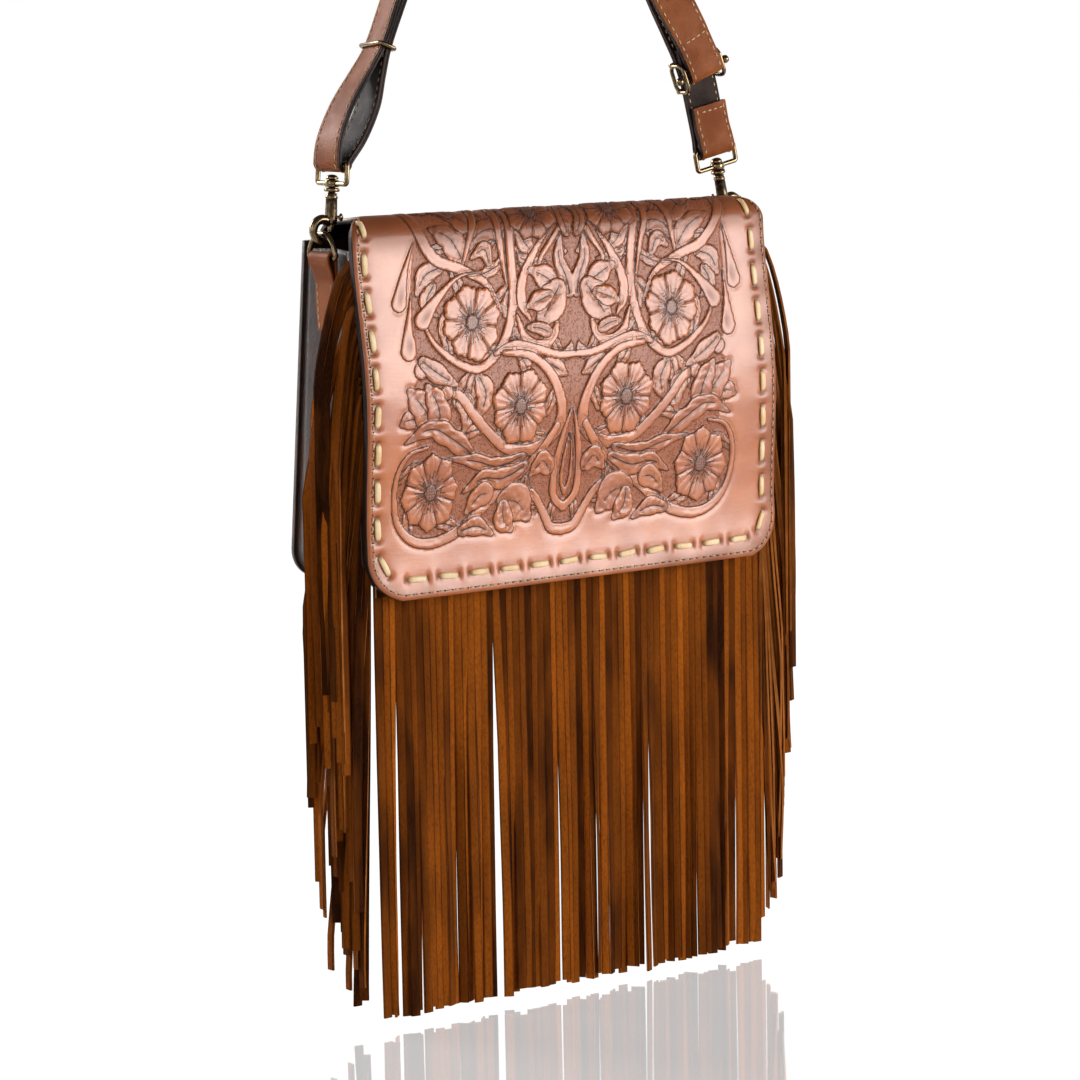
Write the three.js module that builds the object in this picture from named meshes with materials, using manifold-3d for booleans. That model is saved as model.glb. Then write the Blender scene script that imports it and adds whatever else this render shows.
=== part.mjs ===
// Fringed crossbody bag hanging by its strap, in millimetres, +Z up, -Y the front with the tooled flap.
// The bag is drawn about the middle of its top, with Z = 0 where the flap turns down over the front,
// and the whole object is then lowered so that its origin is under the top of the strap.
import * as THREE from 'three';
import { mergeVertices } from 'three/addons/utils/BufferGeometryUtils.js';
import Module from 'manifold-3d';

const wasm = await Module();
wasm.setup();

// Fits
const GAP = 0.3;
const RUNNING_GAP = 0.4;
const FACETS = 16;
const CORNER_START = 12;
const { PI, cos, sin, sqrt, hypot } = Math;
const radians = THREE.MathUtils.degToRad;

// Bag body
const BODY_WIDTH = 280;
const BODY_DROP = 190;
const BODY_CORNER = 18;
const PANEL_THICKNESS = 2.6;
const GUSSET_THICKNESS = 2.2;
const GUSSET_INSET = 1.3;
const BACK_TOP_Y = 27;
const BACK_LEAN = 22;
const FRONT_TOP_Y = -19.5;
const FRONT_LEAN = 6;
const FRONT_TOP_Z = -4;

// Flap
const FLAP_WIDTH = 284;
const FLAP_DROP = 194;
const FLAP_FRONT_Y = -27;
const FLAP_LEAN = 9;
const FLAP_CORNER = 24;
const FLAP_RISE = 14;
const FLAP_LEATHER = 3.2;
const FLAP_LINING = 1.2;
const YOKE_WIDTH = 256;
const FOLD_REACH = 16;
const YOKE_BACK_OVERLAP = 32;

// Lace woven along the flap's edge
const LACE_WIDTH = 4;
const LACE_THICKNESS = 1;
const LACE_INSET = 11;
const LACE_PITCH = 20.5;
const LACE_SHOWING = 0.62;
const LACE_RAMP = 1.4;
const LACE_PROUD = 0.75;
const LACE_DEPTH = 2.5;
const LACE_CORNER = 16;

// Magnetic closure under the flap
const SNAP_RADIUS = 8.5;
const SNAP_Z = -150;
const SNAP_FEMALE = 2.2;
const SNAP_CLEAR = 0.6;
const SNAP_STUD = 2.6;
const SNAP_FLOOR = 0.6;
const SNAP_EASE = 0.8;

// Fringe
const FRINGE_LENGTH = 234;
const FRINGE_HEADER = 12;
const FRINGE_THICKNESS = 1.4;
const FRINGE_STRIPS = 46;
const FRINGE_SLIT = 0.8;
const FRINGE_ROOT = 2;
const FRINGE_INSET = 6;
const SIDE_BUNDLE = 12;
const SIDE_STRIP_LENGTH = 236;
const SIDE_STEPS = 5;
const SIDE_SHORTER = 6;
const SIDE_FRONT_REACH = 6;
const SIDE_BACK_REACH = 20;
const SIDE_FLARE = 40;
const SIDE_TAB_GAP = 2;
const SIDE_TAB_CLEAR = 14;

// D-rings and their leather tabs
const RING_Y = 3;
const RING_Z = -8.1;
const RING_RADIUS = 13;
const RING_WIRE = 1.5;
const TAB_WIDTH = 20;
const TAB_THICKNESS = 3.2;
const TAB_LENGTH = 40;
const TAB_WALL = 1.5;
const RING_CLEAR = 4;

// Swivel bolt snaps, drawn about the middle of the claw with the shank along +Z
const CLAW_RADIUS = 5.5;
const CLAW_WIRE = 2.1;
const CLAW_START = 62;
const CLAW_END = 335;
const BARREL_RADIUS = 3.4;
const BARREL_FOOT = 4.2;
const BARREL_TOP = 19.5;
const BOLT_RADIUS = 1.5;
const BOLT_TOP = 10.5;
const BOLT_FOOT = -0.6;
const BOLT_TRAVEL = 5;
const SPRING_RADIUS = 1.15;
const SPRING_WIRE = 0.25;
const SPRING_TURNS = 4;
const SPRING_PRESSED = 2.2;
const KNOB_RADIUS = 2;
const KNOB_REACH = 5.6;
const KNOB_STEM = 0.9;
const KNOB_Z = 7.5;
const KNOB_TURN = 45;
const NECK_RADIUS = 3.2;
const NECK_HEIGHT = 0.8;
const JOIN = 1;
const COLLAR_RADIUS = 4.2;
const COLLAR_HEIGHT = 2.2;
const POST_RADIUS = 1.9;
const EYE_BASE = 25.5;
const EYE_RISE = 11;
const EYE_WIRE = 1.6;
const EYE_CORNER = 2.5;
const EYE_BOSS_RADIUS = 4;
const EYE_BOSS_HEIGHT = 4;
const DOME_RADIUS = 3.4;
const LEFT_TILT = 4;
const RIGHT_TILT = 12;

// Strap, made of a grain ply and a lining ply sewn face to face
const STRAP_WIDTH = 24;
const STRAP_THICKNESS = 2.9;
const STRAP_LAYER_GAP = 0.5;
const STRAP_STUB = 38;
const STRAP_STEP = 8;
const STRAP_CELLS = 3;
const STUB_CLOSE = 0.8;
const TAIL_CLOSE = 0.9;
const EYE_SIDE_GAP = 0.8;

// Strap fittings
const KEEPER_WIRE = 1.2;
const KEEPER_CORNER = 2;
const SLIDER_HEIGHT = 19;
const SLIDER_RAIL = 1.4;
const SLIDER_CHEEK = 2.4;
const SLIDER_BAR = 1.3;
const SLIDER_BALL = 2.6;
const SLIDER_BALL_SEAT = 2.2;
const SLIDER_TAIL = 17;

// Finishes
function finish(color, roughness, metalness) {
  return new THREE.MeshStandardMaterial({ color, roughness, metalness });
}

const tooledLeather = finish(0xb4714c, 0.42, 0);
const strapLeather = finish(0x8a5030, 0.5, 0);
const darkLeather = finish(0x2c1a14, 0.45, 0);
const suede = finish(0x7a3f12, 0.95, 0);
const rawhide = finish(0xd9b98a, 0.6, 0);
const brass = finish(0x8d7a55, 0.3, 1);
const steel = finish(0x9a9a98, 0.35, 1);

// Closed solids and joining

function weld(geometry) {
  const bare = new THREE.BufferGeometry();
  bare.setAttribute('position', geometry.getAttribute('position').clone());
  bare.setIndex(geometry.index ? geometry.index.clone() : null);
  return mergeVertices(bare, 1e-5);
}

function solid(geometry) {
  const welded = weld(geometry);
  return new wasm.Manifold(new wasm.Mesh({
    numProp: 3,
    vertProperties: new Float32Array(welded.getAttribute('position').array),
    triVerts: new Uint32Array(welded.index.array),
  }));
}

function geometryOf(manifold) {
  const mesh = manifold.getMesh();
  const geometry = new THREE.BufferGeometry();
  geometry.setAttribute('position', new THREE.BufferAttribute(mesh.vertProperties, 3));
  geometry.setIndex(new THREE.BufferAttribute(mesh.triVerts, 1));
  return geometry;
}

const union = (geometries) => geometries.map(solid).reduce((all, next) => all.add(next));

const at = (geometry, x, y, z) => geometry.translate(x, y, z);

// A cylinder along +Z from one height to another
function post(radius, low, high, sides = FACETS) {
  const geometry = new THREE.CylinderGeometry(radius, radius, high - low, sides);
  return at(geometry.rotateX(PI / 2), 0, 0, (low + high) / 2);
}

function namedMesh(name, geometry, material) {
  const mesh = new THREE.Mesh(geometry, material);
  mesh.name = name;
  return mesh;
}

// A flat box bent so that each cross-section takes its points from corners(station, side, face),
// where side runs from -1 to +1 and face is -1 or +1
function bentBox(stations, corners, cells = 1) {
  const geometry = new THREE.BoxGeometry(2, 2, stations.length - 1, cells, 1, stations.length - 1);
  const position = geometry.getAttribute('position');
  const middle = (stations.length - 1) / 2;
  for (let i = 0; i < position.count; i += 1) {
    const station = stations[Math.round(position.getZ(i) + middle)];
    const point = corners(station, position.getX(i), Math.sign(position.getY(i)));
    position.setXYZ(i, point.x, point.y, point.z);
  }
  return outward(weld(geometry));
}

// Turns a closed mesh right side out
function outward(geometry) {
  const position = geometry.getAttribute('position');
  const index = geometry.index;
  const [a, b, c] = [new THREE.Vector3(), new THREE.Vector3(), new THREE.Vector3()];
  let volume = 0;
  for (let i = 0; i < index.count; i += 3) {
    a.fromBufferAttribute(position, index.getX(i));
    b.fromBufferAttribute(position, index.getX(i + 1));
    c.fromBufferAttribute(position, index.getX(i + 2));
    volume += a.dot(b.cross(c));
  }
  if (volume < 0) {
    for (let i = 0; i < index.count; i += 3) {
      const first = index.getX(i);
      index.setX(i, index.getX(i + 1));
      index.setX(i + 1, first);
    }
  }
  return geometry;
}

// A round wire along a closed flat loop of points in the plane with the given normal
function wireLoop(points, normal, radius, sides = 8) {
  const geometry = new THREE.TorusGeometry(2, 1, sides, points.length);
  const position = geometry.getAttribute('position');
  const count = points.length;
  for (let i = 0; i < position.count; i += 1) {
    const x = position.getX(i);
    const y = position.getY(i);
    const turn = (Math.atan2(y, x) / (2 * PI) + 1) % 1;
    const k = Math.round(turn * count) % count;
    const along = points[(k + 1) % count].clone().sub(points[(k + count - 1) % count]).normalize();
    const outwards = along.clone().cross(normal);
    const point = points[k].clone();
    point.addScaledVector(outwards, (hypot(x, y) - 2) * radius);
    point.addScaledVector(normal, position.getZ(i) * radius);
    position.setXYZ(i, point.x, point.y, point.z);
  }
  return outward(weld(geometry));
}

// Corner points of a rectangle with round corners, run anticlockwise as [across, up] pairs
function roundRectangle(width, height, corner, steps = 4) {
  const points = [];
  const turns = [[1, -1, -90], [1, 1, 0], [-1, 1, 90], [-1, -1, 180]];
  for (const [sideways, upwards, start] of turns) {
    for (let k = 0; k <= steps; k += 1) {
      const angle = radians(start + 90 * k / steps);
      points.push([
        sideways * (width / 2 - corner) + corner * cos(angle),
        upwards * (height / 2 - corner) + corner * sin(angle),
      ]);
    }
  }
  return points;
}

// Half the width of a panel with round bottom corners, at a distance above its bottom edge
function roundedHalfWidth(halfWidth, corner, above) {
  if (above >= corner) return halfWidth;
  return halfWidth - corner + sqrt(Math.max(corner ** 2 - (corner - above) ** 2, 0));
}

// Heights above a panel's bottom edge that follow its round corners, then its top
function cornerHeights(corner, top, steps = 5) {
  const heights = [];
  for (let k = 0; k <= steps; k += 1) {
    const angle = CORNER_START + (90 - CORNER_START) * k / steps;
    heights.push(corner * (1 - cos(radians(angle))));
  }
  heights.push(top);
  return heights;
}

// Body: the back and front panels and the wedge-shaped gusset between them

const bodyBottom = -BODY_DROP;
const halfBody = BODY_WIDTH / 2;
const backOuterY = (z) => BACK_TOP_Y - BACK_LEAN * z / BODY_DROP;
const frontOuterY = (z) => FRONT_TOP_Y + FRONT_LEAN * z / BODY_DROP;

function panel(topZ, outerY, inwards) {
  const heights = cornerHeights(BODY_CORNER, topZ - bodyBottom);
  return bentBox(heights, (height, side, face) => {
    const z = bodyBottom + height;
    const half = roundedHalfWidth(halfBody, BODY_CORNER, height);
    const y = outerY(z) + (face > 0 ? 0 : inwards * PANEL_THICKNESS);
    return new THREE.Vector3(side * half, y, z);
  });
}

// The gusset runs down one side, round both corners and up the other, as [x, z, outward x, outward z]
function gussetRun() {
  const half = halfBody - GUSSET_INSET;
  const low = bodyBottom + GUSSET_INSET;
  const corner = BODY_CORNER - GUSSET_INSET;
  const run = [[-half, FRONT_TOP_Z, -1, 0]];
  for (const [side, start] of [[-1, 180], [1, 270]]) {
    for (let k = 0; k <= 6; k += 1) {
      const angle = radians(start + 90 * k / 6);
      const [out, up] = [cos(angle), sin(angle)];
      run.push([side * (half - corner) + corner * out, low + corner + corner * up, out, up]);
    }
  }
  run.push([half, FRONT_TOP_Z, 1, 0]);
  return run;
}

function gusset() {
  return bentBox(gussetRun(), ([x, z, outX, outZ], side, face) => {
    const inset = face > 0 ? 0 : GUSSET_THICKNESS;
    const [px, pz] = [x - outX * inset, z - outZ * inset];
    const front = frontOuterY(pz) + PANEL_THICKNESS + GAP;
    const back = backOuterY(pz) - PANEL_THICKNESS - GAP;
    return new THREE.Vector3(px, side < 0 ? front : back, pz);
  });
}

// Flap: one tooled skin with a dark lining, sewn to the back, folded over the top and hanging in front.
// It bends at the front of its top, where the part that lifts begins.

const flapBottom = -FLAP_DROP;
const halfFlap = FLAP_WIDTH / 2;
const halfYoke = YOKE_WIDTH / 2;
const foldY = FLAP_FRONT_Y + FOLD_REACH;
const yokeBackY = BACK_TOP_Y + GAP + FLAP_LEATHER;
const yokeBackTurn = yokeBackY - FOLD_REACH;
const dropLength = hypot(FLAP_DROP, FLAP_LEAN);

// The flap's outer face in side view, as point and outward normal, down the front from its fold;
// the fold itself is a quarter of an ellipse with its share from 0, on top, to 1, where it meets the drop
function foldStation(share) {
  const angle = share * PI / 2;
  const normal = new THREE.Vector2(-sin(angle) / FOLD_REACH, cos(angle) / FLAP_RISE).normalize();
  const point = new THREE.Vector2(foldY - FOLD_REACH * sin(angle), FLAP_RISE * cos(angle));
  const half = halfYoke + (halfFlap - halfYoke) * (1 - cos(angle));
  return { point, normal, half };
}

function dropStation(along) {
  const share = along / dropLength;
  const normal = new THREE.Vector2(-FLAP_DROP, FLAP_LEAN).normalize();
  const point = new THREE.Vector2(FLAP_FRONT_Y - FLAP_LEAN * share, -FLAP_DROP * share);
  return { point, normal, half: roundedHalfWidth(halfFlap, FLAP_CORNER, dropLength - along) };
}

function dropStations() {
  const stations = [];
  for (let k = 0; k <= 8; k += 1) stations.push(foldStation(k / 8));
  const heights = cornerHeights(FLAP_CORNER, dropLength, 7);
  for (const height of heights.slice(0, -1).reverse()) stations.push(dropStation(dropLength - height));
  stations[0].point.x -= GAP / 2;
  return stations;
}

function yokeStations(overlap) {
  const stations = [];
  const lean = new THREE.Vector2(BODY_DROP, BACK_LEAN).normalize();
  const reach = yokeBackY - yokeBackTurn;
  if (overlap > 0) {
    const y = yokeBackY + BACK_LEAN * overlap / BODY_DROP;
    stations.push({ point: new THREE.Vector2(y, -overlap), normal: lean, half: halfYoke });
  }
  for (let k = 8; k >= 0; k -= 1) {
    const angle = k / 8 * PI / 2;
    const normal = new THREE.Vector2(sin(angle) / reach, cos(angle) / FLAP_RISE).normalize();
    const point = new THREE.Vector2(yokeBackTurn + reach * sin(angle), FLAP_RISE * cos(angle));
    stations.push({ point, normal: k === 8 ? lean : normal, half: halfYoke });
  }
  const edge = new THREE.Vector2(foldY + GAP / 2, FLAP_RISE);
  stations.push({ point: edge, normal: new THREE.Vector2(0, 1), half: halfYoke });
  return stations;
}

function flapSheet(stations, outerDepth, thickness, inset = 0) {
  return bentBox(stations, ({ point, normal, half }, side, face) => {
    const depth = outerDepth + (face > 0 ? 0 : thickness);
    return new THREE.Vector3(side * (half - inset), point.x - normal.x * depth, point.y - normal.y * depth);
  });
}

const liningDepth = FLAP_LEATHER + GAP;

// The lining of the top stops short of the back panel, inside the bag
function yokeLiningStations() {
  return yokeStations(0).slice(2);
}

// Lace: one strip that dives under the leather between the stitches that show.
// It follows the flap's edge as stations [x, distance down the flap, sideways direction].
function laceRoute() {
  const half = halfFlap - LACE_INSET;
  const low = dropLength - LACE_INSET;
  const corner = LACE_CORNER;
  const straight = low - corner;
  const width = 2 * (half - corner);
  const bend = corner * PI / 2;
  const total = 2 * straight + 2 * bend + width;
  const place = (s) => {
    const mirrored = s > total / 2;
    const t = mirrored ? total - s : s;
    const side = mirrored ? 1 : -1;
    if (t < straight) return { x: side * half, v: t, outX: side, outV: 0 };
    if (t < straight + bend) {
      const angle = (t - straight) / corner;
      const [outX, outV] = [side * cos(angle), sin(angle)];
      return { x: side * (half - corner) + corner * outX, v: straight + corner * outV, outX, outV };
    }
    return { x: side * (half - corner - (t - straight - bend)), v: low, outX: 0, outV: 1 };
  };
  return { total, place };
}

function laceMeander(width, thickness) {
  const { total, place } = laceRoute();
  const stitches = Math.round(total / LACE_PITCH);
  const pitch = total / stitches;
  const shown = pitch * LACE_SHOWING;
  const bend = thickness / 2 * Math.tan(Math.atan2(LACE_DEPTH + LACE_PROUD, LACE_RAMP) / 2);
  const stations = [];
  for (let k = 0; k < stitches; k += 1) {
    const start = (k + 0.5) * pitch - shown / 2;
    const end = start + shown;
    stations.push(
      { s: start - LACE_RAMP, depth: LACE_DEPTH, lean: -1 },
      { s: start, depth: -LACE_PROUD, lean: -1 },
      { s: (start + end) / 2, depth: -LACE_PROUD, lean: 0 },
      { s: end, depth: -LACE_PROUD, lean: 1 },
      { s: end + LACE_RAMP, depth: LACE_DEPTH, lean: 1 },
    );
  }
  return bentBox(stations, ({ s, depth, lean }, side, face) => {
    const spot = place(s + face * lean * bend);
    const { point, normal } = dropStation(spot.v + side * spot.outV * width / 2);
    const level = depth - face * thickness / 2;
    const x = spot.x + side * spot.outX * width / 2;
    return new THREE.Vector3(x, point.x - normal.x * level, point.y - normal.y * level);
  });
}

function flapDrop() {
  const skin = flapSheet(dropStations(), 0, FLAP_LEATHER);
  const holes = laceMeander(LACE_WIDTH + 2 * GAP, LACE_THICKNESS + 2 * GAP);
  return geometryOf(solid(skin).subtract(solid(holes)));
}

// Magnetic closure: a socket on the front panel and a stud under the flap

function snapPair() {
  const stud = SNAP_STUD / 2;
  const socket = [[0, 0], [0, SNAP_FLOOR], [stud + GAP, SNAP_FLOOR], [stud + GAP, SNAP_FEMALE],
    [SNAP_RADIUS - SNAP_EASE, SNAP_FEMALE], [SNAP_RADIUS, SNAP_FEMALE - SNAP_EASE], [SNAP_RADIUS, 0]];
  const { point, normal } = dropStation(-SNAP_Z);
  const base = liningDepth + FLAP_LINING + GAP;
  const socketY = frontOuterY(SNAP_Z) - GAP;
  const depth = (point.x - socketY + SNAP_FEMALE + SNAP_CLEAR) / normal.x;
  const male = [[0, base - depth], [0, SNAP_FLOOR], [stud, SNAP_FLOOR], [stud, 0],
    [SNAP_RADIUS - SNAP_EASE, 0], [SNAP_RADIUS, -SNAP_EASE], [SNAP_RADIUS, base - depth]];
  const turned = (profile, lean, y, z) => {
    const points = [...profile, profile[0]].map(([radius, height]) => new THREE.Vector2(radius, height));
    return at(outward(weld(new THREE.LatheGeometry(points, FACETS))).rotateX(-lean), 0, y, z);
  };
  const panelLean = Math.atan2(FRONT_LEAN, BODY_DROP);
  const flapLean = Math.atan2(FLAP_LEAN, FLAP_DROP);
  return [
    turned(socket.map(([radius, height]) => [radius, -height]), panelLean, socketY, SNAP_Z),
    turned(male, flapLean, point.x - normal.x * depth, point.y - normal.y * depth),
  ];
}

// Fringe: a comb of suede along the bottom of the front, and a bundle of strips down each side seam

function frontFringe() {
  const top = bodyBottom + FRINGE_HEADER;
  const slits = bodyBottom - FRINGE_ROOT;
  const low = flapBottom - FRINGE_LENGTH;
  const half = halfBody - FRINGE_INSET;
  const pitch = 2 * half / FRINGE_STRIPS;
  const outline = new THREE.Shape();
  outline.moveTo(-half, top);
  for (let k = 0; k < FRINGE_STRIPS; k += 1) {
    const [left, right] = [-half + k * pitch, -half + (k + 1) * pitch];
    if (k > 0) outline.lineTo(left + FRINGE_SLIT / 2, slits);
    outline.lineTo(left + FRINGE_SLIT / 2, low);
    outline.lineTo(right - FRINGE_SLIT / 2, low);
    if (k < FRINGE_STRIPS - 1) outline.lineTo(right - FRINGE_SLIT / 2, slits);
  }
  outline.lineTo(half, top);
  const comb = new THREE.ExtrudeGeometry(outline, { depth: FRINGE_THICKNESS, bevelEnabled: false });
  return at(comb.rotateX(PI / 2), 0, frontOuterY(bodyBottom) - GAP, 0);
}

// The strips of a side bundle are all one length, so their ends step down as their seam does
function sideFringe(side) {
  const outline = new THREE.Shape();
  const [front, back] = [FRONT_TOP_Y + PANEL_THICKNESS, RING_Y - TAB_WIDTH / 2 - SIDE_TAB_GAP];
  const top = RING_Z - RING_WIRE - RING_CLEAR;
  const tabClear = RING_Z - TAB_LENGTH - SIDE_TAB_CLEAR;
  const low = flapBottom - FRINGE_LENGTH + SIDE_SHORTER;
  const first = top - SIDE_STRIP_LENGTH;
  const [frontLow, backLow] = [front - SIDE_FRONT_REACH, back + SIDE_BACK_REACH];
  outline.moveTo(front, top);
  outline.lineTo(frontLow, low);
  for (let k = 0; k < SIDE_STEPS; k += 1) {
    const across = frontLow + (backLow - frontLow) * (k + 1) / SIDE_STEPS;
    const height = low + (first - low) * k / (SIDE_STEPS - 1);
    outline.lineTo(across - (backLow - frontLow) / SIDE_STEPS, height);
    outline.lineTo(across, height);
  }
  outline.lineTo(backLow, tabClear - SIDE_FLARE);
  outline.lineTo(back, tabClear);
  outline.lineTo(back, top);
  const bundle = new THREE.ExtrudeGeometry(outline, { depth: SIDE_BUNDLE, bevelEnabled: false });
  bundle.rotateX(PI / 2).rotateZ(PI / 2);
  const inner = side < 0 ? -halfBody - GAP - SIDE_BUNDLE : halfBody + GAP;
  return at(bundle, inner, 0, 0);
}

// D-ring: a straight bar along Y in the tab's loop, and a half-round bow above it for the hook to slide on

const tabLoop = RING_WIRE + RUNNING_GAP + TAB_WALL;
const ringX = halfBody - GUSSET_INSET + GAP + tabLoop;

function dRing(side) {
  const points = [];
  for (let k = 0; k <= 14; k += 1) {
    const angle = radians(180 * k / 14);
    const [along, up] = [RING_RADIUS * cos(angle), RING_RADIUS * sin(angle)];
    points.push(new THREE.Vector3(side * ringX, RING_Y + along, RING_Z + up));
  }
  for (let k = 1; k < 6; k += 1) {
    points.push(new THREE.Vector3(side * ringX, RING_Y - RING_RADIUS + 2 * RING_RADIUS * k / 6, RING_Z));
  }
  return wireLoop(points, new THREE.Vector3(1, 0, 0), RING_WIRE);
}

// Leather tab sewn down the gusset, with its loop around the D-ring's bar
function ringTab(side) {
  const wall = halfBody - GUSSET_INSET + GAP;
  const outline = new THREE.Shape();
  const foot = RING_Z - TAB_LENGTH;
  outline.moveTo(wall, foot);
  outline.lineTo(wall + TAB_THICKNESS, foot);
  outline.lineTo(wall + TAB_THICKNESS, RING_Z - tabLoop);
  outline.absarc(ringX, RING_Z, tabLoop, radians(-50), radians(180), false);
  const hole = new THREE.Path();
  hole.absarc(ringX, RING_Z, RING_WIRE + RUNNING_GAP, 0, 2 * PI, false);
  outline.holes.push(hole);
  const tab = new THREE.ExtrudeGeometry(outline, { depth: TAB_WIDTH, bevelEnabled: false, curveSegments: 6 });
  at(tab.rotateX(PI / 2), 0, RING_Y + TAB_WIDTH / 2, 0);
  return side > 0 ? tab : tab.rotateZ(PI).translate(0, 2 * RING_Y, 0);
}

// Swivel bolt snap. Its claw is on the outer side of the shank, and the bolt closes the claw's open side.

const clawZ = RING_Z + RING_RADIUS + CLAW_RADIUS - CLAW_WIRE - RING_WIRE - GAP;
const shankX = CLAW_RADIUS;
const boreTop = BOLT_TOP + BOLT_TRAVEL + SPRING_PRESSED;

function hook() {
  const turns = Array.from({ length: 23 }, (_, k) => radians(CLAW_START + (CLAW_END - CLAW_START) * k / 22));
  const bend = new THREE.CatmullRomCurve3(turns.map((angle) => (
    new THREE.Vector3(CLAW_RADIUS * cos(angle), 0, CLAW_RADIUS * sin(angle))
  )));
  const wire = new THREE.Shape().absarc(0, 0, CLAW_WIRE, 0, 2 * PI, false);
  const claw = new THREE.ExtrudeGeometry(wire, { steps: 20, curveSegments: 4, extrudePath: bend });
  const round = (radius, low, high) => at(post(radius, low, high), shankX, 0, 0);
  const collarLow = EYE_BASE - EYE_BOSS_HEIGHT / 2 - GAP - COLLAR_HEIGHT;
  const domeLow = EYE_BASE + EYE_BOSS_HEIGHT / 2 + GAP;
  const body = union([
    round(BARREL_RADIUS, BARREL_FOOT, BARREL_TOP),
    round(POST_RADIUS, BARREL_TOP - JOIN, domeLow + JOIN),
    round(COLLAR_RADIUS, collarLow, collarLow + COLLAR_HEIGHT),
    round(NECK_RADIUS, BARREL_TOP - JOIN, BARREL_TOP + NECK_HEIGHT),
    at(dome(), shankX, 0, domeLow),
    outward(weld(claw)),
  ]);
  const bore = round(BOLT_RADIUS + GAP, BOLT_FOOT - CLAW_WIRE, boreTop);
  const slotLow = KNOB_Z - KNOB_STEM - GAP;
  const slotHigh = KNOB_Z + BOLT_TRAVEL + KNOB_STEM + GAP;
  const slotDepth = BARREL_RADIUS + JOIN;
  const slot = new THREE.BoxGeometry(slotDepth, 2 * (KNOB_STEM + GAP), slotHigh - slotLow);
  at(at(slot, slotDepth / 2, 0, (slotLow + slotHigh) / 2).rotateZ(-radians(KNOB_TURN)), shankX, 0, 0);
  return geometryOf(body.subtract(solid(bore)).subtract(solid(slot)));
}

// A dome on a flat base, with its axis along +Z
function dome() {
  const profile = [new THREE.Vector2(0, 0)];
  for (let k = 0; k <= 5; k += 1) {
    const angle = radians(90 * k / 5);
    profile.push(new THREE.Vector2(k === 5 ? 0 : DOME_RADIUS * cos(angle), DOME_RADIUS * sin(angle)));
  }
  return outward(weld(new THREE.LatheGeometry(profile, FACETS).rotateX(PI / 2)));
}

function bolt() {
  const stem = post(KNOB_STEM, 0, KNOB_REACH, 10).rotateY(PI / 2);
  const knob = at(new THREE.SphereGeometry(KNOB_RADIUS, 12, 8), KNOB_REACH, 0, 0);
  const sideways = [stem, knob].map((piece) => at(piece.rotateZ(-radians(KNOB_TURN)), 0, 0, KNOB_Z));
  const rod = post(BOLT_RADIUS, BOLT_FOOT, BOLT_TOP, 12);
  return at(geometryOf(union([rod, ...sideways])), shankX, 0, 0);
}

// Spring in the barrel that pushes the bolt down into the claw
function boltSpring() {
  const low = BOLT_TOP + SPRING_WIRE + GAP;
  const high = boreTop - SPRING_WIRE - GAP;
  const steps = 8 * SPRING_TURNS;
  const coil = Array.from({ length: steps + 1 }, (_, k) => {
    const angle = 2 * PI * SPRING_TURNS * k / steps;
    const height = low + (high - low) * k / steps;
    return new THREE.Vector3(shankX + SPRING_RADIUS * cos(angle), SPRING_RADIUS * sin(angle), height);
  });
  const wire = new THREE.Shape().absarc(0, 0, SPRING_WIRE, 0, 2 * PI, false);
  const path = new THREE.CatmullRomCurve3(coil);
  return outward(weld(new THREE.ExtrudeGeometry(wire, { steps, curveSegments: 3, extrudePath: path })));
}

// Strap eye of a snap: a rectangular wire loop with a boss that the post turns in.
// Its bars run across the strap, along Y where turned is false and along X where it is true.
function eye(turned) {
  const width = STRAP_WIDTH + 2 * EYE_SIDE_GAP + 2 * EYE_WIRE;
  const outline = roundRectangle(width, EYE_RISE, EYE_CORNER, 3);
  const points = outline.map(([across, up]) => {
    const [x, y] = turned ? [across, 0] : [0, across];
    return new THREE.Vector3(x + shankX, y, EYE_BASE + EYE_RISE / 2 + up);
  });
  const normal = turned ? new THREE.Vector3(0, 1, 0) : new THREE.Vector3(1, 0, 0);
  const boss = at(post(EYE_BOSS_RADIUS, -EYE_BOSS_HEIGHT / 2, EYE_BOSS_HEIGHT / 2), shankX, 0, EYE_BASE);
  const bore = at(post(POST_RADIUS + GAP, -EYE_BOSS_HEIGHT, EYE_BOSS_HEIGHT), shankX, 0, EYE_BASE);
  return geometryOf(solid(wireLoop(points, normal, EYE_WIRE)).add(solid(boss)).subtract(solid(bore)));
}

// Places what is drawn about the claw on one side of the bag; the shank leans in over the bag
function hookFrame(side) {
  const tilt = radians(side < 0 ? LEFT_TILT : RIGHT_TILT);
  const frame = new THREE.Group();
  frame.position.set(side * ringX, RING_Y, clawZ);
  frame.rotation.set(0, side < 0 ? tilt : -tilt, side < 0 ? 0 : PI, 'YXZ');
  frame.updateMatrixWorld();
  return frame;
}

function eyeBar(side) {
  return new THREE.Vector3(shankX, 0, EYE_BASE + EYE_RISE).applyMatrix4(hookFrame(side).matrixWorld);
}

// Strap: its middle line from above the right snap, over the top and down to the keeper, as [x, z, turn],
// where a turn of 90 faces the strap forward and 0 faces it along the line's own plane. Each leg is measured
// from its own eye's bar, and the top from the mean height of both bars.
const STRAP_RIGHT = [
  [-5.9, 22.9, 90], [-11.9, 44.9, 90], [-21.9, 65.9, 90], [-32.9, 86.9, 84], [-54.4, 130.9, 52],
  [-75.4, 174.9, 18], [-92.4, 208.9, 2], [-109.4, 229.9, 0],
];
const STRAP_TOP = 237.207;
const STRAP_LEFT = [
  [114.4, 228.5, 0], [97.4, 207.5, 0], [80.4, 173.5, 0], [61.4, 130.5, 0], [41.9, 86.5, 0], [30.9, 61.5, 0],
];
const KEEPER_PLACE = 14;
const SLIDER_PLACE = 1;
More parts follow.
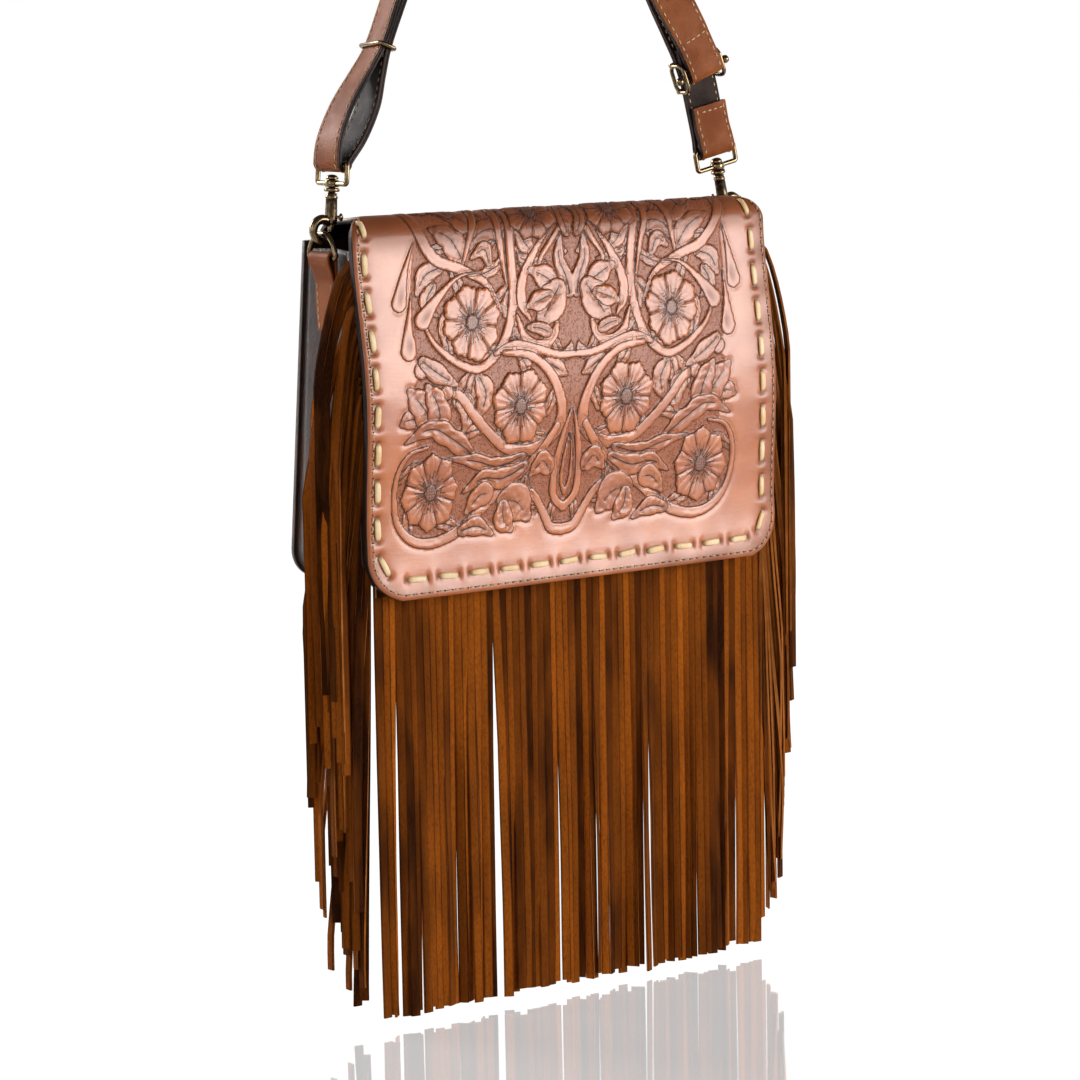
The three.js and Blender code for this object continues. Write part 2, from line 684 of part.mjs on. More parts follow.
// The open loop below the keeper, down its outer side and up its inner side, as [x, z] from the left bar
const LOOP_OUTER = [[20.4, 49.5], [7.4, 31.5], [-1.6, 12.5]];
const LOOP_INNER = [[13.4, 11.5], [23.4, 29.5], [27.9, 45.5]];
// The front layer on its way to the slider, as [place on the line, distance forward]
const FRONT_LAYER = [[3, 3], [2, 5.2]];
const SLIDER_STANDOFF = 7;

const turnRadius = EYE_WIRE + GAP + STRAP_THICKNESS / 2;
const layerOffset = (STRAP_THICKNESS + STRAP_LAYER_GAP) / 2;
const forward = new THREE.Vector3(0, -1, 0);
const backward = new THREE.Vector3(0, 1, 0);

const rightBar = eyeBar(1);
const leftBar = eyeBar(-1);
const fromBar = (bar) => ([x, z, ...turn]) => [bar.x + x, bar.z + z, ...turn];
const strapTop = STRAP_TOP + (rightBar.z + leftBar.z) / 2;
const strapLine = [...STRAP_RIGHT.map(fromBar(rightBar)), [0, strapTop, 0], ...STRAP_LEFT.map(fromBar(leftBar))];

function lineFrame(place) {
  const [x, z, turn] = strapLine[place];
  const before = strapLine[Math.max(place - 1, 0)];
  const after = strapLine[Math.min(place + 1, strapLine.length - 1)];
  const along = new THREE.Vector2(after[0] - before[0], after[1] - before[1]).normalize();
  const outwards = new THREE.Vector3(along.y, 0, -along.x).multiplyScalar(cos(radians(turn)));
  outwards.addScaledVector(backward, sin(radians(turn)));
  return { point: new THREE.Vector3(x, RING_Y, z), outwards, along: new THREE.Vector3(along.x, 0, along.y) };
}

// Half a turn round a bar, from one side to the other by way of below
function barTurn(centre, from, down) {
  const stops = [];
  for (let k = 0; k <= 6; k += 1) {
    const angle = PI * k / 6;
    const normal = from.clone().multiplyScalar(cos(angle)).addScaledVector(down, sin(angle));
    stops.push({ point: centre.clone().addScaledVector(normal, turnRadius), normal });
  }
  return stops;
}

const sliderFrame = lineFrame(SLIDER_PLACE);
const sliderBarCentre = sliderFrame.point.clone().addScaledVector(forward, SLIDER_STANDOFF - layerOffset);
const sliderTurn = SLIDER_BAR + GAP + STRAP_THICKNESS / 2;

// Every point of the strap in turn, with the direction that its grain side faces
function strapStops() {
  const stops = [];
  const rightUp = new THREE.Vector3(0, 0, 1).transformDirection(hookFrame(1).matrixWorld);
  const rise = (distance, offset, normal) => stops.push({
    point: rightBar.clone().addScaledVector(rightUp, distance).addScaledVector(normal, offset),
    normal,
  });
  rise(STRAP_STUB, layerOffset, forward);
  rise(STRAP_STUB / 2, layerOffset, forward);
  rise(STRAP_STUB / 4, turnRadius * STUB_CLOSE, forward);
  stops.push(...barTurn(rightBar, forward, rightUp.clone().negate()));
  rise(STRAP_STUB / 4, turnRadius * STUB_CLOSE, backward);
  for (let k = 0; k < strapLine.length; k += 1) {
    const { point, outwards } = lineFrame(k);
    stops.push({ point: point.addScaledVector(outwards, layerOffset), normal: outwards });
  }
  const leftUp = new THREE.Vector3(0, 0, 1).transformDirection(hookFrame(-1).matrixWorld);
  const out = new THREE.Vector3(-leftUp.z, 0, leftUp.x);
  const side = ([x, z], normal) => stops.push({ point: new THREE.Vector3(x, RING_Y, z), normal });
  const down = lineFrame(KEEPER_PLACE).outwards;
  LOOP_OUTER.map(fromBar(leftBar)).forEach((spot, k) => side(spot, down.clone().lerp(out, (k + 1) / 4).normalize()));
  stops.push(...barTurn(leftBar, out, leftUp.clone().negate()));
  const inwards = out.clone().negate();
  const up = down.clone().negate();
  LOOP_INNER.map(fromBar(leftBar)).forEach((spot, k) => side(spot, inwards.clone().lerp(up, (k + 1) / 4).normalize()));
  for (let k = strapLine.length - 1; k > FRONT_LAYER[0][0]; k -= 1) {
    const { point, outwards } = lineFrame(k);
    stops.push({ point: point.addScaledVector(outwards, -layerOffset), normal: outwards.clone().negate() });
  }
  for (const [place, distance] of FRONT_LAYER) {
    const { point, outwards } = lineFrame(place);
    const normal = outwards.clone().negate();
    stops.push({ point: point.addScaledVector(normal, layerOffset + distance), normal });
  }
  for (let k = 0; k <= 6; k += 1) {
    const angle = PI * k / 6;
    const normal = forward.clone().multiplyScalar(cos(angle)).addScaledVector(sliderFrame.along, -sin(angle));
    stops.push({ point: sliderBarCentre.clone().addScaledVector(normal, sliderTurn), normal });
  }
  const tail = sliderBarCentre.clone().addScaledVector(backward, sliderTurn * TAIL_CLOSE);
  stops.push({ point: tail.addScaledVector(sliderFrame.along, SLIDER_TAIL), normal: backward });
  return stops;
}

// One ply of the strap, between two distances on the grain side of the strap's middle
function strapPly(stops, low, high) {
  const curve = new THREE.CatmullRomCurve3(stops.map((stop) => stop.point), false, 'centripetal');
  const faces = new THREE.CatmullRomCurve3(stops.map((stop) => stop.normal), false, 'centripetal');
  const stations = [];
  const last = stops.length - 1;
  for (let k = 0; k < last; k += 1) {
    const reach = stops[k].point.distanceTo(stops[k + 1].point);
    const steps = Math.max(1, Math.round(reach / STRAP_STEP));
    for (let j = 0; j < steps; j += 1) stations.push((k + j / steps) / last);
  }
  stations.push(1);
  return bentBox(stations, (t, side, face) => {
    const along = curve.getTangent(t);
    const normal = faces.getPoint(t);
    normal.addScaledVector(along, -normal.dot(along)).normalize();
    const across = along.clone().cross(normal);
    const point = curve.getPoint(t).addScaledVector(across, side * STRAP_WIDTH / 2);
    return point.addScaledVector(normal, face > 0 ? high : low);
  }, STRAP_CELLS);
}

// Keeper: a thin wire loop round both layers of the left leg
function keeper() {
  const { point, outwards } = lineFrame(KEEPER_PLACE);
  const width = STRAP_WIDTH + 2 * RUNNING_GAP + 2 * KEEPER_WIRE;
  const depth = 2 * STRAP_THICKNESS + STRAP_LAYER_GAP + 2 * RUNNING_GAP + 2 * KEEPER_WIRE;
  const points = roundRectangle(width, depth, KEEPER_CORNER, 3).map(([across, up]) => (
    point.clone().addScaledVector(backward, across).addScaledVector(outwards, up)
  ));
  return wireLoop(points, backward.clone().cross(outwards).normalize(), KEEPER_WIRE);
}

// Slider: two rails behind the running layer, joined by cheeks that carry the bar the strap's end is sewn to
function sliderParts() {
  const across = backward.clone().cross(sliderFrame.along).normalize();
  const place = (geometry) => {
    const basis = new THREE.Matrix4().makeBasis(across, backward, sliderFrame.along);
    return geometry.applyMatrix4(basis.setPosition(sliderBarCentre));
  };
  const inner = STRAP_WIDTH / 2 + EYE_SIDE_GAP;
  const railY = SLIDER_STANDOFF + STRAP_THICKNESS / 2 + GAP + SLIDER_RAIL;
  const crosswise = (radius, half, sides) => post(radius, -half, half, sides).rotateY(PI / 2);
  const railZ = SLIDER_HEIGHT / 2 - SLIDER_RAIL;
  const pieces = [-1, 1].map((end) => (
    at(crosswise(SLIDER_RAIL, inner + SLIDER_CHEEK / 2, 10), 0, railY, end * railZ)
  ));
  const depth = railY + 2 * SLIDER_RAIL + SLIDER_BAR;
  for (const end of [-1, 1]) {
    const cheek = new THREE.BoxGeometry(SLIDER_CHEEK, depth, SLIDER_HEIGHT);
    pieces.push(at(cheek, end * (inner + SLIDER_CHEEK / 2), depth / 2 - SLIDER_RAIL - SLIDER_BAR, 0));
  }
  const outer = inner + SLIDER_CHEEK + GAP;
  const hole = crosswise(SLIDER_BAR + GAP, inner + 2 * SLIDER_CHEEK, 12);
  const frame = geometryOf(union(pieces).subtract(solid(hole)));
  const ends = [-1, 1].map((end) => (
    at(new THREE.SphereGeometry(SLIDER_BALL, 12, 8), end * (outer + SLIDER_BALL_SEAT), 0, 0)
  ));
  const bar = geometryOf(union([crosswise(SLIDER_BAR, outer + SLIDER_BALL, 12), ...ends]));
  return [place(frame), place(bar)];
}

// Assembly

const bag = new THREE.Group();
bag.add(namedMesh('back_panel', panel(0, backOuterY, -1), darkLeather));
bag.add(namedMesh('front_panel', panel(FRONT_TOP_Z, frontOuterY, 1), darkLeather));
bag.add(namedMesh('gusset', gusset(), darkLeather));
bag.add(namedMesh('flap_top', flapSheet(yokeStations(YOKE_BACK_OVERLAP), 0, FLAP_LEATHER), tooledLeather));
const topLining = flapSheet(yokeLiningStations(), liningDepth, FLAP_LINING, 1);
bag.add(namedMesh('flap_top_lining', topLining, darkLeather));
bag.add(namedMesh('flap_front', flapDrop(), tooledLeather));
bag.add(namedMesh('flap_front_lining', flapSheet(dropStations(), liningDepth, FLAP_LINING, 1), darkLeather));
bag.add(namedMesh('flap_lace', laceMeander(LACE_WIDTH, LACE_THICKNESS), rawhide));
const [socket, stud] = snapPair();
bag.add(namedMesh('snap_socket', socket, brass), namedMesh('snap_stud', stud, brass));
bag.add(namedMesh('fringe_front', frontFringe(), suede));

const stops = strapStops();
const grainFace = STRAP_THICKNESS / 2;
bag.add(namedMesh('strap', strapPly(stops, GAP / 2, grainFace), strapLeather));
bag.add(namedMesh('strap_lining', strapPly(stops, -grainFace, -GAP / 2), darkLeather));
bag.add(namedMesh('strap_keeper', keeper(), brass));
const [sliderBody, sliderBar] = sliderParts();
bag.add(namedMesh('slider_frame', sliderBody, brass), namedMesh('slider_bar', sliderBar, brass));

for (const [side, name] of [[-1, 'left'], [1, 'right']]) {
  bag.add(namedMesh(`fringe_${name}`, sideFringe(side), suede));
  bag.add(namedMesh(`ring_tab_${name}`, ringTab(side), darkLeather));
  bag.add(namedMesh(`d_ring_${name}`, dRing(side), brass));
  const frame = hookFrame(side);
  frame.add(namedMesh(`hook_${name}`, hook(), brass));
  frame.add(namedMesh(`hook_bolt_${name}`, bolt(), brass));
  frame.add(namedMesh(`hook_spring_${name}`, boltSpring(), steel));
  frame.add(namedMesh(`strap_eye_${name}`, eye(side > 0), brass));
  bag.add(frame);
}

bag.position.z = -(strapTop - layerOffset - grainFace);

const object = new THREE.Group();
object.add(bag);

export default object;
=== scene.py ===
import math

import bmesh
import bpy
import numpy as np
from mathutils import Matrix, Vector


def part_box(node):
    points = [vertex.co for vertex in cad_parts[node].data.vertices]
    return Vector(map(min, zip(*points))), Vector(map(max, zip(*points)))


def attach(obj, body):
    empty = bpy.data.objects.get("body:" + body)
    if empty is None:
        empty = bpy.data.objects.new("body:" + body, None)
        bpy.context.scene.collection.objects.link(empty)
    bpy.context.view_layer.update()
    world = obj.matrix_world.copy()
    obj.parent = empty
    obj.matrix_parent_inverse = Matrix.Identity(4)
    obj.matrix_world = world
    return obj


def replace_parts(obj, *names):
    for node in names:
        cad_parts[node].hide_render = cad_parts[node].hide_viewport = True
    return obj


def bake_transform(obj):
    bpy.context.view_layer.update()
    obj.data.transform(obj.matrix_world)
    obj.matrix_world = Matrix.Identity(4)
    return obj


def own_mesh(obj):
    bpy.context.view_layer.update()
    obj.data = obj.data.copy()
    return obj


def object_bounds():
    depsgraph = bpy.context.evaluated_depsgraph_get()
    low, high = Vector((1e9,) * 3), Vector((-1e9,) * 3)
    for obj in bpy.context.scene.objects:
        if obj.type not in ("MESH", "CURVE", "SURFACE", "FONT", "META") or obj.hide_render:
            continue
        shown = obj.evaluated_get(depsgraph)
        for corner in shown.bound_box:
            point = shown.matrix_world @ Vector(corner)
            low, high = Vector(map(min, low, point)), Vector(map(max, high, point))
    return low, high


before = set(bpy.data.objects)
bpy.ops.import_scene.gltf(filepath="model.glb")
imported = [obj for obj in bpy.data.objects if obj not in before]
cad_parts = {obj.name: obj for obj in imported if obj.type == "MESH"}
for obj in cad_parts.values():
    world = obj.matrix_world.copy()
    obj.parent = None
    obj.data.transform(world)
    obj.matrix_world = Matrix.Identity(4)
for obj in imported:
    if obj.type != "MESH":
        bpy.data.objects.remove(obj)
cad_low, cad_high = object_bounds()

# The studio: a glossy white floor under the hanging bag, in a white room. A broad soft light stands in front
# to the right and a weaker one to the left. Two behind on the left draw the rims, and one behind on the right
# fills the back. The camera is low, in front of the bag's left corner.
bpy.context.scene.view_settings.view_transform = "Standard"
CAMERA_TURN, CAMERA_RISE, CAMERA_ROLL = -35.9, 8.29, math.radians(-1.02)
CAMERA_TARGET, CAMERA_DISTANCE, CAMERA_LENS = Vector((-0.0027, 0.0, -0.45215)), 2.1006, 123
FLOOR_GAP, FLOOR_HALF = 0.006, 8
WHITE = (1, 1, 1)


def way_to(turn, rise):
    """The way from the bag to a place turned from its front and raised, in degrees."""
    turn, rise = math.radians(turn), math.radians(rise)
    return Vector((math.sin(turn) * math.cos(rise), -math.cos(turn) * math.cos(rise), math.sin(rise)))


def link(name, data):
    """A new object at the origin, in the scene."""
    made = bpy.data.objects.new(name, data)
    bpy.context.scene.collection.objects.link(made)
    return made


camera_data = bpy.data.cameras.new("photo_camera")
camera_data.sensor_width, camera_data.lens = 36, CAMERA_LENS
camera = link("photo_camera", camera_data)
back_way = way_to(CAMERA_TURN, CAMERA_RISE)
right_way = Vector((0, 0, 1)).cross(back_way).normalized()
up_way = back_way.cross(right_way)
rolled_right = right_way * math.cos(CAMERA_ROLL) + up_way * math.sin(CAMERA_ROLL)
rolled_up = up_way * math.cos(CAMERA_ROLL) - right_way * math.sin(CAMERA_ROLL)
camera.matrix_world = Matrix.Translation(CAMERA_TARGET + back_way * CAMERA_DISTANCE) @ Matrix((
    rolled_right, rolled_up, back_way,
)).transposed().to_4x4()
bpy.context.scene.camera = camera

for name, turn, rise, distance, width, height, power in (
    ("front_light", 35, 12, 2.2, 1.2, 1.1, 45),
    ("left_light", -75, 20, 2.4, 0.9, 1.5, 8),
    ("rim_light", -153, 27, 2.4, 0.9, 0.9, 60),
    ("side_light", -143, 3, 2.4, 0.16, 1.2, 7),
    ("back_light", 105, 20, 2.4, 1.2, 1.2, 9),
):
    data = bpy.data.lights.new(name, "AREA")
    data.shape = "RECTANGLE"
    data.size, data.size_y, data.energy = width, height, power
    light, way = link(name, data), way_to(turn, rise)
    light.location = CAMERA_TARGET + way * distance
    light.rotation_euler = way.to_track_quat("Z", "Y").to_euler()


def add(tree, kind, inputs=None, **settings):
    """Adds a shader node with its settings, links or sets its inputs, and gives back its outputs."""
    made = tree.nodes.new(kind)
    for name, value in settings.items():
        setattr(made, name, value)
    for name, value in (inputs or {}).items():
        socket = made.inputs[name]
        if isinstance(value, bpy.types.NodeSocket):
            tree.links.new(value, socket)
        else:
            socket.default_value = (*value, 1) if socket.type == "RGBA" else value
    return made.outputs


def maths(tree, operation, first, second=0.0):
    return add(tree, "ShaderNodeMath", {0: first, 1: second}, operation=operation)[0]


def ramp(tree, value, low, high, bottom=0.0, top=1.0):
    """A smooth step from one value to another."""
    return add(tree, "ShaderNodeMapRange", {
        "Value": value, "From Min": low, "From Max": high, "To Min": bottom, "To Max": top,
    }, interpolation_type="SMOOTHSTEP")[0]


def mix_shaders(tree, factor, first, second):
    return add(tree, "ShaderNodeMixShader", {0: factor, 1: first, 2: second})[0]


def new_material(name):
    made = bpy.data.materials.new(name)
    made.use_nodes = True
    made.node_tree.nodes.clear()
    return made, made.node_tree


world = bpy.data.worlds.new("studio")
world.use_nodes = True
bpy.context.scene.world = world
sky = world.node_tree
sky.nodes.clear()
path = add(sky, "ShaderNodeLightPath")
seen = maths(sky, "MAXIMUM", path["Is Camera Ray"], path["Is Transmission Ray"])
height = add(sky, "ShaderNodeSeparateXYZ", {0: add(sky, "ShaderNodeTexCoord")["Generated"]})["Z"]
dim, walls, white = (
    add(sky, "ShaderNodeBackground", {"Color": colour, "Strength": strength})[0] for colour, strength in (
        ((0.95, 0.97, 1.0), 0.16), (WHITE, ramp(sky, height, 0.46, 0.24, 0.1, 1.0)), (WHITE, 1.0),
    )
)
lit = mix_shaders(sky, path["Is Glossy Ray"], dim, walls)
add(sky, "ShaderNodeOutputWorld", {"Surface": mix_shaders(sky, seen, lit, white)})

floor_mesh = bpy.data.meshes.new("floor")
floor_bm = bmesh.new()
bmesh.ops.create_grid(floor_bm, x_segments=1, y_segments=1, size=FLOOR_HALF)
bmesh.ops.translate(floor_bm, verts=floor_bm.verts, vec=(0, 0, cad_low.z - FLOOR_GAP))
floor_bm.to_mesh(floor_mesh)
floor_bm.free()
floor = link("floor", floor_mesh)
floor_finish, tree = new_material("white_floor")
seen = add(tree, "ShaderNodeLightPath")["Is Camera Ray"]
matt = add(tree, "ShaderNodeBsdfDiffuse", {"Color": (0.8, 0.8, 0.8)})[0]
mirror = add(tree, "ShaderNodeBsdfGlossy", {"Color": WHITE, "Roughness": 0.045})[0]
glow = add(tree, "ShaderNodeEmission", {"Color": WHITE, "Strength": 1.35})[0]
grazing = ramp(tree, add(tree, "ShaderNodeLayerWeight", {"Blend": 0.5})["Facing"], 0.35, 0.65, 0.08, 0.62)
shaded = mix_shaders(tree, 0.12, mix_shaders(tree, grazing, glow, mirror), matt)
add(tree, "ShaderNodeOutputMaterial", {"Surface": mix_shaders(tree, seen, matt, shaded)})
floor_mesh.materials.append(floor_finish)

# The bag's body: dark brown grained leather, a back and a front panel sewn to a narrow gusset that
# widens towards the bottom. The leather is soft, so the panels swell a little and the gusset folds in.
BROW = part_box("flap_top")[1].z - 0.014
BODY_HALF = 0.140
BODY_DROP = 0.190
BODY_CORNER = 0.018
PANEL, PANEL_EASE = 0.0026, 0.0006
BACK_TOP, BACK_LEAN = 0.027, 0.022
FRONT_TOP, FRONT_LEAN, FRONT_RIM = -0.0195, -0.006, -0.004
rng = np.random.default_rng(11)


def group(name, inputs, outputs):
    """An empty shader group with named value inputs and outputs, its tree and its two end nodes."""
    tree = bpy.data.node_groups.new(name, "ShaderNodeTree")
    for label, start in inputs:
        tree.interface.new_socket(label, in_out="INPUT", socket_type="NodeSocketFloat").default_value = start
    for label in outputs:
        tree.interface.new_socket(label, in_out="OUTPUT", socket_type="NodeSocketFloat")
    return tree, tree.nodes.new("NodeGroupInput"), tree.nodes.new("NodeGroupOutput")


def times(tree, first, second):
    return maths(tree, "MULTIPLY", first, second)


def colour_mix(tree, factor, first, second):
    return add(tree, "ShaderNodeMix", {0: factor, 6: first, 7: second}, data_type="RGBA")[2]


def noise(tree, where, scale, detail, roughness=0.5):
    """Fractal noise. Its scale is one number, or three to stretch it."""
    if isinstance(scale, tuple):
        where, scale = add(tree, "ShaderNodeMapping", {"Vector": where, "Scale": scale})[0], 1.0
    return add(tree, "ShaderNodeTexNoise", {
        "Vector": where, "Scale": scale, "Detail": detail, "Roughness": roughness,
    })[0]


def bumped(tree, height, strength, distance):
    return add(tree, "ShaderNodeBump", {"Height": height, "Strength": strength, "Distance": distance})[0]


def end_material(tree, colour, roughness, normal, more=None):
    """Ends a material in a principled surface."""
    inputs = {"Base Color": colour, "Roughness": roughness, "Normal": normal, **(more or {})}
    shader = add(tree, "ShaderNodeBsdfPrincipled", inputs)
    add(tree, "ShaderNodeOutputMaterial", {"Surface": shader[0]})


grain, ends_in, ends_out = group("leather_grain", [("Size", 900.0)], ["Height", "Tone"])
where = add(grain, "ShaderNodeTexCoord")["Object"]
pebble = add(grain, "ShaderNodeTexVoronoi", {"Vector": where, "Scale": ends_in.outputs["Size"]},
             feature="SMOOTH_F1")["Distance"]
fine, mottle = noise(grain, where, 2600.0, 3.0), noise(grain, where, 38.0, 6.0, 0.62)
height = maths(grain, "ADD", times(grain, pebble, 0.8), times(grain, fine, 0.35))
grain.links.new(height, ends_out.inputs["Height"])
grain.links.new(ramp(grain, mottle, 0.3, 0.72), ends_out.inputs["Tone"])


def leather(name, dark, light, size, roughness, bump, coat=0.15, shine=0.5):
    """A grained leather between two colours, with a thin wax finish."""
    made, tree = new_material(name)
    surface = add(tree, "ShaderNodeGroup", {"Size": size}, node_tree=grain)
    rough = ramp(tree, surface["Tone"], 0.0, 1.0, roughness + 0.1, roughness - 0.04)
    end_material(tree, colour_mix(tree, surface["Tone"], dark, light), rough,
                 bumped(tree, surface["Height"], bump, 0.0004),
                 {"Coat Weight": coat, "Coat Roughness": 0.3, "Specular IOR Level": shine})
    return made


dark_leather = leather("dark_leather", (0.012, 0.006, 0.004), (0.052, 0.020, 0.011), 700, 0.36, 0.6)
edge_paint = leather("edge_paint", (0.010, 0.005, 0.004), (0.026, 0.011, 0.007), 1500, 0.45, 0.15,
                     coat=0.0, shine=0.15)


def thread_material(name, colour):
    made, tree = new_material(name)
    twist = noise(tree, add(tree, "ShaderNodeTexCoord")["Object"], 2200.0, 2.0)
    shade = colour_mix(tree, twist, tuple(0.55 * c for c in colour), colour)
    end_material(tree, shade, 0.7, bumped(tree, twist, 0.4, 0.0003))
    return made


pale_thread = thread_material("pale_thread", (0.62, 0.44, 0.24))
brown_thread = thread_material("brown_thread", (0.20, 0.10, 0.05))


def finish_piece(name, bm, *materials, smooth=True):
    """Turns a finished bmesh into an object at the origin, its faces turned outwards."""
    bmesh.ops.recalc_face_normals(bm, faces=bm.faces)
    mesh = bpy.data.meshes.new(name)
    bm.to_mesh(mesh)
    bm.free()
    for finish in materials:
        mesh.materials.append(finish)
    if smooth:
        mesh.shade_smooth()
    return link(name, mesh)


def thicken(piece, thickness, bevel=0.0, rim=0):
    """Gives a sheet its thickness, half to each side. Its rim can have another material, and eased edges."""
    wall = piece.modifiers.new("wall", "SOLIDIFY")
    wall.thickness, wall.offset, wall.material_offset_rim = thickness, 0, rim
    if bevel:
        eased = piece.modifiers.new("eased_edges", "BEVEL")
        eased.width, eased.segments, eased.limit_method = bevel, 2, "ANGLE"
    return piece


def grid(across, along):
    """A flat grid with its verts, each with its place across and along from 0 to 1."""
    bm = bmesh.new()
    bmesh.ops.create_grid(bm, x_segments=across, y_segments=along, size=1)
    bm.verts.ensure_lookup_table()
    places = [((v.co.x + 1) / 2, (v.co.y + 1) / 2) for v in bm.verts]
    return bm, places


def rounded_half(half, corner, above):
    """Half the width of a panel with round bottom corners, at a height above its bottom edge."""
    if above >= corner:
        return half
    return half - corner + math.sqrt(max(corner ** 2 - (corner - above) ** 2, 0))


def panel_face(z, top, lean):
    return top - lean * z / BODY_DROP


def body_panel(name, rim, top, lean, swell):
    """A panel with round bottom corners, from its rim down, swelling out by a few millimetres."""
    bm, places = grid(48, 40)
    drop = BODY_DROP + rim
    for vert, (across, along) in zip(bm.verts, places):
        above = drop * (1 - math.cos(along * math.pi / 2)) if along < 1 else drop
        side = 2 * across - 1
        z = above - BODY_DROP
        bulge = swell * (1 - side ** 4) * math.sin(math.pi * min(above / drop * 0.92 + 0.08, 1))
        half = rounded_half(BODY_HALF, BODY_CORNER, max(above, 0.0006))
        vert.co = (side * half, panel_face(z, top, lean) + bulge, z + BROW)
    return finish_piece(name, bm, dark_leather)


BACK_SWELL, FRONT_SWELL = 0.0022, -0.0015
back_panel = body_panel("back_leather", 0.0, BACK_TOP - PANEL / 2, BACK_LEAN, BACK_SWELL)
thicken(back_panel, PANEL, PANEL_EASE)
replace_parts(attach(back_panel, "bag"), "back_panel")
front_panel = body_panel("front_leather", FRONT_RIM, FRONT_TOP + PANEL / 2, FRONT_LEAN, FRONT_SWELL)
thicken(front_panel, PANEL, PANEL_EASE)
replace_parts(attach(front_panel, "bag"), "front_panel")

GUSSET, GUSSET_INSET, GUSSET_FOLD = 0.0022, 0.0013, 0.006


def u_length(half, top, low, corner):
    return 2 * (low - corner - top + corner * math.pi / 2 + half - corner)


def u_walk(d, half, top, low, corner):
    """A point at a distance along a U with round corners, from the top of its left side round to the top of
    its right one, and the way out of the U there. Heights are measured down."""
    total = u_length(half, top, low, corner)
    straight, bend = low - corner - top, corner * math.pi / 2
    side = 1 if d > total / 2 else -1
    d = min(d, total - d)
    angle = min(max(d - straight, 0) / corner, math.pi / 2)
    out, down = math.cos(angle), math.sin(angle)
    x = half - corner + corner * out - max(d - straight - bend, 0)
    return side * x, min(top + d, low - corner) + corner * down, side * out, down


inset = GUSSET_INSET + GUSSET / 2
gusset_u = BODY_HALF - inset, -FRONT_RIM, BODY_DROP - inset, BODY_CORNER - inset
bm, places = grid(10, 220)
for vert, (across, along) in zip(bm.verts, places):
    x, level, out_x, out_down = u_walk(along * u_length(*gusset_u), *gusset_u)
    front = panel_face(-level, FRONT_TOP, FRONT_LEAN) + PANEL
    behind = panel_face(-level, BACK_TOP, BACK_LEAN) - PANEL
    fold = GUSSET_FOLD * (1 - abs(2 * across - 1)) ** 1.3 * abs(out_x)
    fold *= 1 + 0.3 * math.sin(along * 61) * (1 - abs(2 * along - 1))
    vert.co = (x - out_x * fold, front + (behind - front) * across, out_down * fold - level + BROW)
gusset = thicken(finish_piece("gusset_leather", bm, dark_leather), GUSSET)
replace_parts(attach(gusset, "bag"), "gusset")


def stitch_run(name, places, length, radius, thread, holes=0.0):
    """Short stitches along a seam, with holes punched so far ahead of their middles if asked. Each place is a
    stitch's middle, its way along and its way out of the leather."""
    bm = bmesh.new()
    shapes = [(0.0, (length / 2, radius, radius * 0.8, 1))]
    if holes:
        shapes.append((holes, (radius * 0.95, radius * 0.95, radius * 0.7, 1)))
    for index, (ahead, size) in enumerate(shapes):
        first = len(bm.faces)
        for middle, along, out in places:
            along, out = Vector(along).normalized(), Vector(out).normalized()
            turn = Matrix((along, out.cross(along), out)).transposed().to_4x4()
            place = Matrix.Translation(Vector(middle) + along * ahead) @ turn @ Matrix.Diagonal(size)
            bmesh.ops.create_icosphere(bm, subdivisions=1, radius=1, matrix=place)
        bm.faces.ensure_lookup_table()
        for face in bm.faces[first:]:
            face.material_index = index
    return finish_piece(name, bm, thread, edge_paint)


BODY_STITCH, BODY_STITCH_INSET, STITCH_LONG, STITCH_ROUND, STITCH_LIFT = 0.0042, 0.004, 0.0034, 0.0005, 0.0002
BACK_SEAM_TOP = -0.03


def panel_seam(rim, top, lean, out):
    """Stitch places down one side of a panel, along its bottom and up the other side."""
    places = []
    half, low, corner = BODY_HALF - BODY_STITCH_INSET, BODY_STITCH_INSET - BODY_DROP, BODY_CORNER
    run = [(-half, rim - 0.006)]
    run += [(-half + corner * (1 - math.cos(a)), low + corner * (1 - math.sin(a)))
            for a in np.linspace(0, math.pi / 2, 7)]
    run += [(-x, z) for x, z in reversed(run)]
    lengths = [math.dist(a, b) for a, b in zip(run, run[1:])]
    total = sum(lengths)
    for k in range(int(total / BODY_STITCH)):
        d = (k + 0.5) * BODY_STITCH
        for (x0, z0), (x1, z1), length in zip(run, run[1:], lengths):
            if d <= length:
                x, z = x0 + (x1 - x0) * d / length, z0 + (z1 - z0) * d / length
                way = (x1 - x0, 0, z1 - z0)
                break
            d -= length
        places.append(((x, panel_face(z, top, lean), z + BROW), way, (0, out, 0)))
    return places


back_places = panel_seam(BACK_SEAM_TOP, BACK_TOP + STITCH_LIFT, BACK_LEAN, 1)
back_seam = stitch_run("back_seam", back_places, STITCH_LONG, STITCH_ROUND, brown_thread)
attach(back_seam, "bag")
front_places = panel_seam(FRONT_RIM, FRONT_TOP - STITCH_LIFT, FRONT_LEAN, -1)
front_seam = stitch_run("front_seam", front_places, STITCH_LONG, STITCH_ROUND, brown_thread)
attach(front_seam, "bag")

